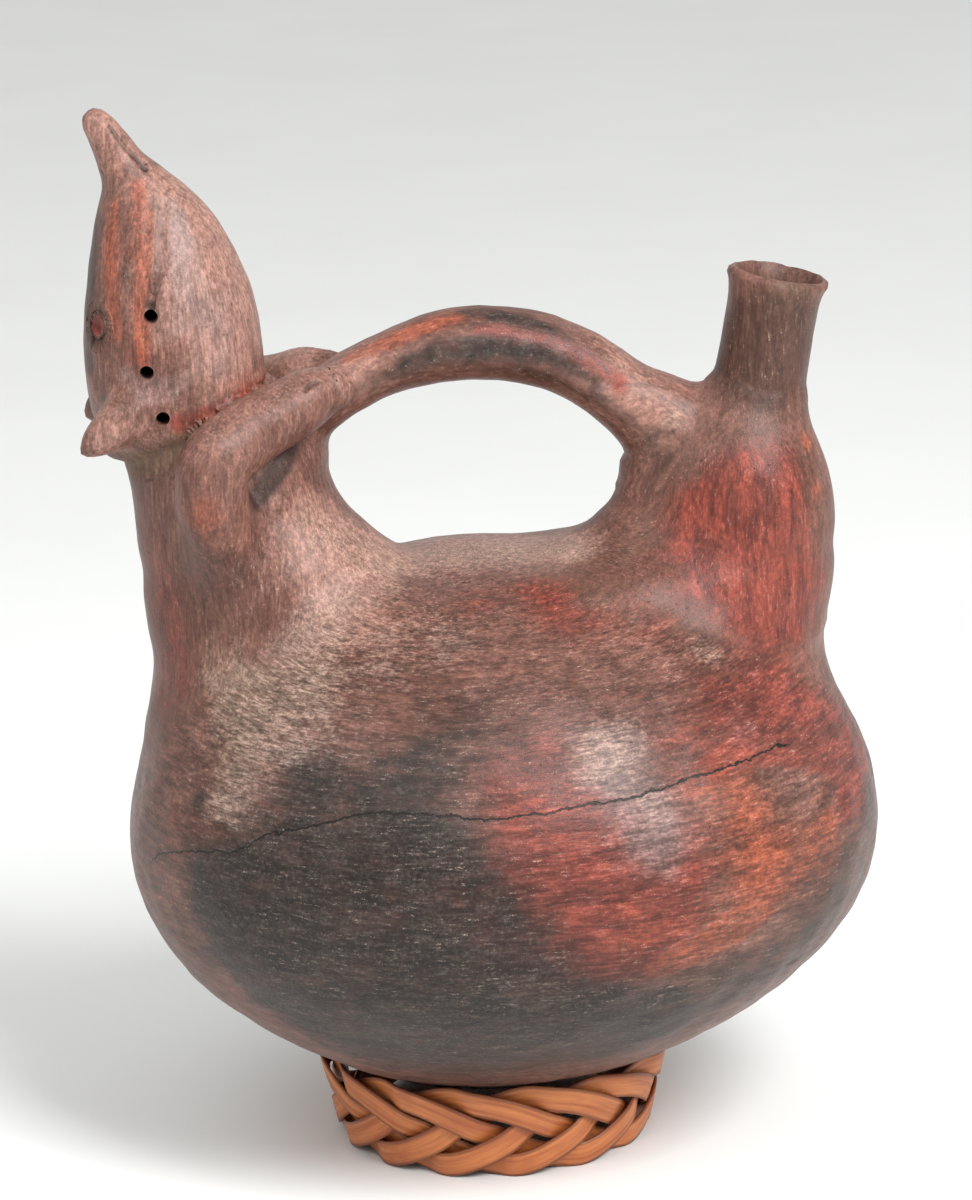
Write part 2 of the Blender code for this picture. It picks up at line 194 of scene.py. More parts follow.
def sectionField(p, rows):
    # finds the section whose plane holds each point, then how far its ellipse is: m (m - 1) / |slope of m|
    x, z, tilt, wide, deep = rows.T
    index = np.arange(len(x))
    step = np.hypot(np.gradient(x), np.gradient(z))
    near = np.argmin((p[:, 0:1] - x) ** 2 + (p[:, 2:3] - z) ** 2, axis=1).astype(float)
    for turn in range(4):
        t = np.interp(near, index, tilt)
        dx, dz = p[:, 0] - np.interp(near, index, x), p[:, 2] - np.interp(near, index, z)
        off = dz * np.cos(t) - dx * np.sin(t)
        if turn < 3:
            near = np.clip(near + 0.9 * off / np.interp(near, index, step), 0, index[-1])
    u = dx * np.cos(t) + dz * np.sin(t)
    a, b = np.interp(near, index, wide), np.interp(near, index, deep)
    m = np.hypot(u / a, p[:, 1] / b)
    slope = np.hypot(u / a**2, p[:, 1] / b**2)
    side = np.where(m < 1e-4, -np.minimum(a, b), m * (m - 1) / np.maximum(slope, 1e-9))
    under = (p[:, 0] - x[0]) * np.sin(tilt[0]) - (p[:, 2] - z[0]) * np.cos(tilt[0])
    over = (p[:, 2] - z[-1]) * np.cos(tilt[-1]) - (p[:, 0] - x[-1]) * np.sin(tilt[-1])
    return np.maximum(side, np.maximum(under, over)), near / index[-1]


def rodField(p, rows, reach=14):
    # distance to a round rod along a path = distance to the path - its radius there
    far = np.full(len(p), 60.0)
    inside = within(p, rows[:, :3], rows[:, 3].max() + reach)
    q = p[inside]
    if len(q) == 0:
        return far
    index = np.arange(len(rows))
    path = rows[:, :3]
    way = np.gradient(path, axis=0)
    near = np.argmin(((q[:, None] - path[None]) ** 2).sum(2), axis=1).astype(float)
    for _ in range(3):
        at = np.stack([np.interp(near, index, path[:, k]) for k in range(3)], -1)
        along = np.stack([np.interp(near, index, way[:, k]) for k in range(3)], -1)
        near = np.clip(near + ((q - at) * along).sum(1) / (along**2).sum(1), 0, index[-1])
    at = np.stack([np.interp(near, index, path[:, k]) for k in range(3)], -1)
    far[inside] = np.linalg.norm(q - at, axis=1) - np.interp(near, index, rows[:, 3])
    return far


def joined(a, b, soft):
    # two forms in one with a fillet: min(a, b) - h h soft / 4, h = share of soft by which they differ less
    h = np.maximum(soft - np.abs(a - b), 0) / soft
    return np.minimum(a, b) - h * h * soft / 4


def carved(a, b, soft):
    # the first form with the second one cut out of it
    return -joined(-a, b, soft)


# whistling vessel

vessel = {
    "shift": (0.77, 0, -2.5),
    "voxel": 1.8,
    "wall": 5.0,
    "bodyCentre": (-2.2, 0, 82.8),
    "bodyLeft": 89.8,
    "bodyRight": 99.4,
    "bodyHalfDepth": 86.0,
    "bodyBelow": 67.7,
    "bodyAbove": 72.2,
    "bodyTaper": 1.35,
    "torso": [(-48, 95, 0, 27, 27), (-50, 114, 0, 32, 29), (-50.5, 130, 0, 33, 29), (-50, 146, 0, 35, 28.5),
              (-52.5, 154, 0, 32.5, 27.5), (-57, 161, 0, 29.2, 26), (-60.7, 169, 0, 25.7, 24),
              (-62.4, 176, 0, 24.6, 23), (-63.2, 182, 0, 24.8, 21.5), (-66.5, 188.5, 8, 21.5, 19.5),
              (-71, 197, 12, 17, 17), (-72.5, 206, 12, 15, 15.5)],
    "head": [(-71.3, 189, 24, 17.5, 17.5), (-72.3, 191.3, 24, 20.9, 19.8), (-73.9, 200, 15, 22.1, 20.8),
             (-74.7, 210, 9, 22, 21), (-75.4, 220, 7, 20.9, 20.4), (-76.4, 230, 7, 18.4, 18.6),
             (-77.9, 239, 8, 15.1, 15.5), (-80.3, 246.7, 12, 11, 11.5), (-82.3, 251.6, 15, 7.7, 8.2),
             (-85.5, 256.8, 17, 5.5, 5.9), (-88.05, 262.4, 13, 4.7, 4.9), (-90.1, 266.3, 10, 3.7, 3.9),
             (-90.9, 268.4, 8, 2.2, 2.3), (-90.7, 269.2, 8, 1, 1)],
    "chamber": [(55, 100, 0, 24, 22), (59, 121, 0, 22, 22), (61.5, 135, -2, 22.4, 22.5),
                (64, 150, -4, 22.4, 23), (65.5, 163, -6, 22.4, 23), (66.5, 174, -8, 20.3, 21),
                (67.5, 182, -10, 16.8, 17.5), (68.5, 189, -11.4, 12.8, 13), (69.1, 192, -11.4, 11.2, 11.2)],
    "chamberFoot": [(48, 136, 0, 34, 25), (44, 144, 0, 40, 27), (42, 151, 0, 41, 26),
                    (47, 154.5, 0, 33, 22.5), (50, 158, 0, 26.5, 19), (52, 163, 0, 22.5, 15),
                    (52, 168, 0, 17.5, 12)],
    "handle": [(-60, 178, 9, 10.5), (-49, 186, 8.4, 10), (-37, 195.6, 7.4, 9.5), (-21.3, 203.4, 7.8, 9.5),
               (-4, 207.1, 9, 10), (9, 206.2, 9.2, 10), (24, 200.9, 9.1, 10), (36, 192.3, 9.3, 10),
               (46.5, 183, 13.2, 10.5), (49.5, 172, 15.5, 11.5), (50.5, 163, 15, 11.5)],
    "arm": [(-60, 19.5, 158, 7.6), (-64, 24, 167, 8.4), (-66.6, 27, 177, 8.8), (-65.5, 27.5, 185.6, 8.8),
            (-57.5, 22.5, 191.6, 8.3), (-48, 15.6, 195.4, 7.8), (-41, 11.4, 198.2, 7.1),
            (-36, 9.8, 199.6, 5.2)],
    "ear": [(-80, 14, 199, 7), (-86, 17.3, 196, 6.4), (-92, 19, 192, 5), (-95.7, 19.8, 189.6, 3.2),
            (-97.6, 20.2, 188.4, 1.4)],
    "spoutFoot": (69.1, 192),
    "spoutLean": 11.4,
    # distance up the spout, radius outside
    "spoutSkin": [(-5, 11.4), (0, 11.3), (8, 11.35), (18, 11.4), (24, 11.6), (27, 12.1), (28.6, 12.7),
                  (29.6, 12.5), (30, 11.9)],
    "boreSkin": [(-22, 8.25), (10, 8.25), (21, 8.4), (26, 9.6), (29, 10.5), (30.2, 11.2), (32, 11.8)],
    "soundHoles": [(-79.1, 221.3), (-80.8, 207.6), (-77.5, 196.3)],
    "soundHoleRadius": 1.7,
    "dents": 0.2,
    # the next lines lie on the skin and are on both sides: x, y, z and radius
    "furrow": [(-75, 10.3, 247.1, 0.6), (-75.8, 14.7, 240.2, 1.1), (-76.6, 17.8, 232.2, 1.2),
               (-78.4, 19, 226, 0.9)],
    "brow": [(-78.6, 11, 247.4, 0.3), (-79.2, 15.1, 239.2, 0.5), (-79.7, 17.3, 232, 0.3)],
    "drip": [(-78.5, 18.6, 231, 0.3), (-78.8, 19, 227.5, 0.7), (-79, 18.6, 223.5, 1)],
    "mouth": [(-87, 3.7, 265, 0.25), (-84.3, 3.9, 260.8, 0.4), (-82.5, 4.1, 258.7, 0.42),
              (-80.6, 4.6, 256.6, 0.48), (-79, 5.4, 254.7, 0.65)],
    # underArm: the crevice under each forearm, where the line attribute paints shade
    "underArm": [(-60, 25, 170, 1), (-56, 22.5, 175.5, 1.8), (-49, 17.5, 183, 2), (-43, 14, 189, 1.6),
                 (-38, 12, 193, 1)],
    "fingers": [(-43.5, 17.8, 200, 0.2), (-41.6, 17, 201.6, 0.45), (-39.8, 16, 202.4, 0.3)],
    "eye": (-93, 11.5, 217.9),
    "eyeFacing": (0.875, 0.485),
    "eyeHalfWidth": 4.6,
    "eyeHalfHeight": 5.0,
    "eyeBand": 1.4,
    # how dark the painted shade in furrow, brow, drip, mouth and fingers is
    "lineDarkness": (0.25, 0.1, 0.75, 0.8, 0.5),
    # where the mesh is made finer: x, y, z, radius
    "fineZones": [(-78, 0, 222, 34), (-52, -18, 188, 24), (-84, 0, 259, 12), (-84, 0, 259, 10),
                  (-93, -11.5, 218, 8), (-93, 11.5, 218, 7), (-78.8, -19, 226, 7), (-42, -16, 200, 6),
                  (-48, -17, 183, 10)],
    # how far two forms run into each other where they meet
    "fillets": {"foot": 9, "spout": 5, "torso": 13, "chamber": 14, "handle": 6, "ears": 4, "head": 1.8,
                "lines": 1.0, "eye": 0.3},
    # the arms' fillet from the shoulder's height to the elbow's
    "armFillet": ((162, 182), (9, 1.1)),
    # the saddle under the handle takes this much off the body's fillets
    "saddleCut": 8,
    "saddleFoot": 140,
    "saddleRise": 14,
    "saddleHalfWidth": 20,
}


def bodyGrid(inset, rings, around):
    # point(lat, angle) = (reach * c * cos, depth * c * sin, rise * sin(lat)), c = cos(lat), below to a power
    lat = np.linspace(-0.499 * np.pi, 0.499 * np.pi, rings)[:, None]
    angle = np.linspace(0, 2 * np.pi, around, endpoint=False)[None]
    plan = np.cos(lat) ** np.where(lat < 0, vessel["bodyTaper"], 1)
    reach = np.where(np.cos(angle) > 0, vessel["bodyRight"], vessel["bodyLeft"]) - inset
    rise = np.where(lat < 0, vessel["bodyBelow"], vessel["bodyAbove"]) - inset
    y = (vessel["bodyHalfDepth"] - inset) * plan * np.sin(angle)
    grid = np.stack([reach * plan * np.cos(angle), y, rise * np.sin(lat) + 0 * angle], -1)
    return grid + np.array(vessel["bodyCentre"])


def bodyField(p):
    # m = sqrt((plan share to the taper)^2 + (height share)^2), distance = (m - 1) m / |slope of m|
    q = p - np.array(vessel["bodyCentre"])
    reach = np.where(q[:, 0] > 0, vessel["bodyRight"], vessel["bodyLeft"])
    depth = vessel["bodyHalfDepth"]
    power = np.where(q[:, 2] < 0, 1 / vessel["bodyTaper"], 1)
    rise = np.where(q[:, 2] < 0, vessel["bodyBelow"], vessel["bodyAbove"])
    plan = np.hypot(q[:, 0] / reach, q[:, 1] / depth)
    m = np.sqrt(np.maximum(plan, 1e-6) ** (2 * power) + (q[:, 2] / rise) ** 2)
    slope = np.sqrt((q[:, 0] / reach**2) ** 2 + (q[:, 1] / depth**2) ** 2 + (q[:, 2] / rise**2) ** 2)
    return m * (m - 1) / np.maximum(slope, 1e-6)


def spoutRows(skin, count):
    # a round loft along the leaning axis of the spout
    rows = smoothRows([(h, 0, r) for h, r in skin], 1, count)
    lean = math.radians(vessel["spoutLean"])
    x = vessel["spoutFoot"][0] + rows[:, 0] * math.sin(lean)
    z = vessel["spoutFoot"][1] + rows[:, 0] * math.cos(lean)
    return np.column_stack([x, z, np.full(count, -lean), rows[:, 2], rows[:, 2]])


def sided(knots, side):
    # the same knots on the near side, -1, or the far one, 1
    return [(x, side * y, z, r) for x, y, z, r in knots]


torsoRows, headRows = uprightRows(vessel["torso"]), uprightRows(vessel["head"], 110)
chamberRows, footRows = uprightRows(vessel["chamber"]), uprightRows(vessel["chamberFoot"], 50)
handleRows = archRows(vessel["handle"])
skinRows = spoutRows(vessel["spoutSkin"], 40)
armRows = {side: smoothRows(sided(vessel["arm"], side), 3, 48) for side in (-1, 1)}
earRows = {side: smoothRows(sided(vessel["ear"], side), 3, 24) for side in (-1, 1)}


def formFields(p):
    # the distance to each of the vessel's forms, and how far along the handle each point is
    handle, handleAt = loftField(p, handleRows)
    return {
        "body": bodyField(p),
        "torso": loftField(p, torsoRows)[0],
        "head": loftField(p, headRows)[0],
        "chamber": loftField(p, chamberRows)[0],
        "foot": loftField(p, footRows)[0],
        "handle": handle,
        "handleAt": handleAt,
        "spout": loftField(p, skinRows)[0],
        "arms": np.minimum(rodField(p, armRows[-1]), rodField(p, armRows[1])),
        "ears": np.minimum(rodField(p, earRows[-1]), rodField(p, earRows[1])),
    }


def plainField(p):
    # all forms of the vessel in one, before any line is carved into them
    f = formFields(p)
    fillet = vessel["fillets"]
    chamber = joined(joined(f["chamber"], f["foot"], fillet["foot"]), f["spout"], fillet["spout"])
    # the fillets are wide round the sides and small at the saddle under the handle
    rise = np.clip((p[:, 2] - vessel["saddleFoot"]) / vessel["saddleRise"], 0, 1)
    cut = vessel["saddleCut"] * rise * np.clip(1.6 - np.abs(p[:, 1]) / vessel["saddleHalfWidth"], 0, 1)
    whole = joined(f["body"], f["torso"], fillet["torso"] - cut)
    whole = joined(whole, chamber, fillet["chamber"] - cut)
    whole = joined(whole, f["handle"], fillet["handle"])
    whole = joined(whole, f["arms"], np.interp(p[:, 2], *vessel["armFillet"]))
    return joined(whole, joined(f["head"], f["ears"], fillet["ears"]), fillet["head"]), f["head"]


def onBothSides(p, rows):
    # distance to a line and to its mirror image on the near side
    return rodField(np.column_stack([p[:, 0], np.abs(p[:, 1]), p[:, 2]]), rows, 6)


def eyeShare(p):
    # how far out across the eye's ellipse a point is, 1 on its ring, and 9 away from the eye
    q = np.column_stack([p[:, 0], np.abs(p[:, 1]), p[:, 2]]) - np.array(vessel["eye"])
    out, side = vessel["eyeFacing"]
    across = q[:, 0] * side + q[:, 1] * out
    share = np.hypot(across / vessel["eyeHalfWidth"], q[:, 2] / vessel["eyeHalfHeight"])
    return np.where(q[:, 1] * side - q[:, 0] * out > -5, share, 9)


def eyeField(p, head):
    # ring: how far from the ellipse and from the skin, less the band. Pupil: a low dome
    share = eyeShare(p)
    size = (vessel["eyeHalfWidth"] + vessel["eyeHalfHeight"]) / 2
    ring = np.hypot((share - 1) * size, head) - vessel["eyeBand"]
    pupil = (np.hypot(share / 0.5, head / 1.2) - 1) * 1.2
    return np.where(share < 3, joined(ring, pupil, vessel["fillets"]["eye"]), 60)


def clayField(p):
    # the plain field with a moat round the pupil, the eyes, the carved lines and the dents
    whole, head = plainField(p)
    share = eyeShare(p)
    whole = whole + 0.5 * np.clip(1 - np.abs(share - 0.66) / 0.2, 0, 1)
    whole = joined(whole, eyeField(p, head), vessel["fillets"]["eye"])
    for rows in lineRows:
        whole = carved(whole, onBothSides(p, rows), vessel["fillets"]["lines"])
    return whole - vessel["dents"] * waves(p, 26, 5) - 0.4 * vessel["dents"] * waves(p, 9, 6)


def settled(p, field, rounds=3, step=0.05):
    # block by block, p - f * slope / |slope|^2 a few times, which ends where the field is zero
    blocks = []
    for q in np.array_split(p, len(p) // 25000 + 1):
        for _ in range(rounds):
            f = field(q)
            slope = np.stack([(field(q + way * step) - f) / step for way in np.eye(3)], -1)
            move = f[:, None] * slope / np.maximum((slope**2).sum(1), 0.2)[:, None]
            far = np.linalg.norm(move, axis=1)[:, None]
            q = q - move * np.minimum(1, 1.5 / np.maximum(far, 1e-9))
        blocks.append(q)
    return np.vstack(blocks)


underArmShadeRows = smoothRows(vessel["underArm"], 3, 30)
lineRows = []
for name in ("furrow", "brow", "drip", "mouth", "fingers"):
    line = smoothRows(vessel[name], 3, 30)
    line[:, :3] = settled(line[:, :3], lambda p: plainField(p)[0])
    lineRows.append(line)


def refined(mesh, zones):
    # the faces of each zone are split in four
    for *centre, radius in zones:
        close = np.linalg.norm(corners(mesh) - centre, axis=1) < radius
        ends = np.empty(len(mesh.edges) * 2, np.int32)
        mesh.edges.foreach_get("vertices", ends)
        picked = np.flatnonzero(close[ends.reshape(-1, 2)].all(1))
        bm = bmesh.new()
        bm.from_mesh(mesh)
        bm.edges.ensure_lookup_table()
        bmesh.ops.subdivide_edges(bm, edges=[bm.edges[i] for i in picked], cuts=1, use_grid_fill=True)
        bm.to_mesh(mesh)
        bm.free()


def makeClaySkin():
    # every form's grid in one mesh, remeshed to one skin, then settled on the clay's own field
    grids = [bodyGrid(0, 90, 160), loftGrid(torsoRows, 90), loftGrid(headRows, 90), loftGrid(chamberRows, 90),
             loftGrid(footRows, 90), loftGrid(handleRows, 60), loftGrid(skinRows, 60)]
    for side in (-1, 1):
        grids += [rodGrid(armRows[side], 40), rodGrid(earRows[side], 32)]
    points, faces, start = [], [], 0
    for grid in grids:
        points.append(grid.reshape(-1, 3))
        faces += [[start + k for k in face] for face in gridFaces(*grid.shape[:2])]
        start += grid.shape[0] * grid.shape[1]
    skin = meshObject("claySkin", np.vstack(points), faces, 1)
    remesh = skin.modifiers.new("remesh", "REMESH")
    remesh.mode = "VOXEL"
    remesh.voxel_size = vessel["voxel"]
    mesh = applied(skin)
    refined(mesh, vessel["fineZones"])
    settledPoints = settled(corners(mesh), clayField)
    mesh.vertices.foreach_set("co", ((settledPoints + vessel["shift"]) * 0.001).astype(np.float32).ravel())
    mesh.update()
    return skin


def holeGrid(x, z, side, radius, reach=(9, 27)):
    # a straight rod out through the side of the head
    y = np.linspace(*reach, 6) * side
    return rodGrid(np.column_stack([np.full(6, x), y, np.full(6, z), np.full(6, radius)]), 24)


def makeHollows():
    # the forms' inner skins, the spout's bore and the sound holes, all to be cut out
    grids = {
        "bodyHollow": bodyGrid(vessel["wall"], 40, 64),
        "torsoHollow": loftGrid(shrunk(torsoRows[::3], vessel["wall"]), 40),
        "headHollow": loftGrid(shrunk(headRows[headRows[:, 1] < 246][::4], vessel["wall"]), 40),
        "chamberHollow": loftGrid(shrunk(chamberRows[::3], vessel["wall"]), 40),
        "bore": loftGrid(spoutRows(vessel["boreSkin"], 40), 56),
    }
    for i, (x, z) in enumerate(vessel["soundHoles"]):
        for side in (-1, 1):
            name = f"soundHole{i}{'near' if side < 0 else 'far'}"
            grids[name] = holeGrid(x, z, side, vessel["soundHoleRadius"])
    hollows = bpy.data.collections.new("hollows")
    bpy.context.scene.collection.children.link(hollows)
    for name, grid in grids.items():
        made = gridObject(name, grid + np.array(vessel["shift"]))
        bpy.context.scene.collection.objects.unlink(made)
        hollows.objects.link(made)
    return hollows


def makeVessel():
    # clay = skin less its hollows
    whole = makeClaySkin()
    print("clay skin", len(whole.data.vertices), "points")
    hollows = makeHollows()
    cut = whole.modifiers.new("hollow", "BOOLEAN")
    cut.operation = "DIFFERENCE"
    cut.operand_type = "COLLECTION"
    cut.collection = hollows
    cut.solver = "EXACT"
    applied(whole)
    for helper in list(hollows.objects):
        bpy.data.objects.remove(helper, do_unlink=True)
    bpy.data.collections.remove(hollows)
    whole.name = whole.data.name = "whistlingVesselClay"
    print("hollowed vessel", len(whole.data.vertices), "points")
    return whole


vesselPiece = makeVessel()


# plaited cane ring

cane = {
    "leads": 5,
    "bights": 14,
    "stripWidth": 6.8,
    "stripThickness": 0.9,
    "weaveDepth": 1.45,
    "footRadius": 38.8,
    "flare": 12.9,
    "height": 22.5,
    "stepsPerBight": 64,
    "centre": (-1.43, 0),
}


def ringTop(angle):
    # the ring's upper edge follows the vessel's underside: level - below * sqrt(1 - share^(2 / taper))
    spread = math.tan(math.radians(cane["flare"]))
    radius = cane["footRadius"] + (cane["height"] - cane["stripWidth"]) * spread - 0.4
    x, y = radius * np.cos(angle), radius * np.sin(angle)
    reach = np.where(x > 0, vessel["bodyRight"], vessel["bodyLeft"])
    share = np.hypot(x / reach, y / vessel["bodyHalfDepth"])
    drop = vessel["bodyBelow"] * np.sqrt(1 - share ** (2 / vessel["bodyTaper"]))
    return vessel["bodyCentre"][2] + vessel["shift"][2] - drop - 0.3


def stripGrid():
    # centre(phase) goes round the cone, up and down as a cosine, in and out as a flattened sine of twice
    # that, and the section there is a flat strip with rounded edges, turned to lie along its path
    count = cane["bights"] * cane["stepsPerBight"]
    phase = np.arange(count) * 2 * np.pi / cane["stepsPerBight"]
    angle = phase * cane["leads"] / cane["bights"]
    flare = math.radians(cane["flare"])
    lowest = (cane["stripWidth"] * math.cos(flare) + cane["stripThickness"] * math.sin(flare)) / 2
    rise = ringTop(angle) - 2 * lowest
    share = (1 + np.cos(phase)) / 2
    radius = cane["footRadius"] + math.tan(flare) * rise * share
    pitch = np.arctan(-rise / 2 * np.sin(phase) * cane["bights"] / cane["leads"] / radius)
    zero = 0 * angle
    out = np.stack([np.cos(angle), np.sin(angle), zero], -1)
    roundRing = np.stack([-np.sin(angle), np.cos(angle), zero], -1)
    upCone = out * math.sin(flare) + np.array((0, 0, math.cos(flare)))
    square = np.cross(roundRing, upCone)
    across = upCone * np.cos(pitch)[:, None] - roundRing * np.sin(pitch)[:, None]
    wave = cane["weaveDepth"] * np.tanh(2.4 * np.sin(2 * phase))
    centre = out * radius[:, None] + square * wave[:, None]
    centre[:, 2] += lowest + rise * share
    centre[:, :2] += cane["centre"]
    half = cane["stripWidth"] / 2 * (1 + 0.025 * np.sin(phase * 3 / 14 + 1) + 0.02 * np.sin(phase * 17 / 14))
    edge = np.array([-1, -0.97, -0.5, 0, 0.5, 0.97, 1, 0.97, 0.5, 0, -0.5, -0.97])
    skin = np.array([0, 0.42, 0.5, 0.52, 0.5, 0.42, 0, -0.4, -0.42, -0.42, -0.42, -0.4])
    grid = centre[:, None] + across[:, None] * (half[:, None] * edge)[..., None]
    grid += square[:, None] * skin[:, None] * cane["stripThickness"]
    along = np.cumsum(np.linalg.norm(np.roll(centre, -1, axis=0) - centre, axis=1))
    return grid, along, np.broadcast_to(edge, (count, len(edge)))


def makeRing():
    # the strip's grid, closed on itself both ways
    grid, along, edge = stripGrid()
    count, around = grid.shape[:2]
    i = np.arange(count * around).reshape(count, around)
    j = np.roll(i, -1, axis=1)
    faces = np.stack([i, np.roll(i, -1, axis=0), np.roll(j, -1, axis=0), j], -1).reshape(-1, 4).tolist()
    ring = meshObject("plaitedCaneRing", grid, faces)
    fibre = np.stack([np.repeat(along[:, None], around, 1), edge * cane["stripWidth"] / 2, 0 * edge], -1)
    writeAttribute(ring.data, "fibre", fibre.reshape(-1, 3))
    ring.data.shade_smooth()
    return ring


ringPiece = makeRing()
print("ring", len(ringPiece.data.vertices), "points")
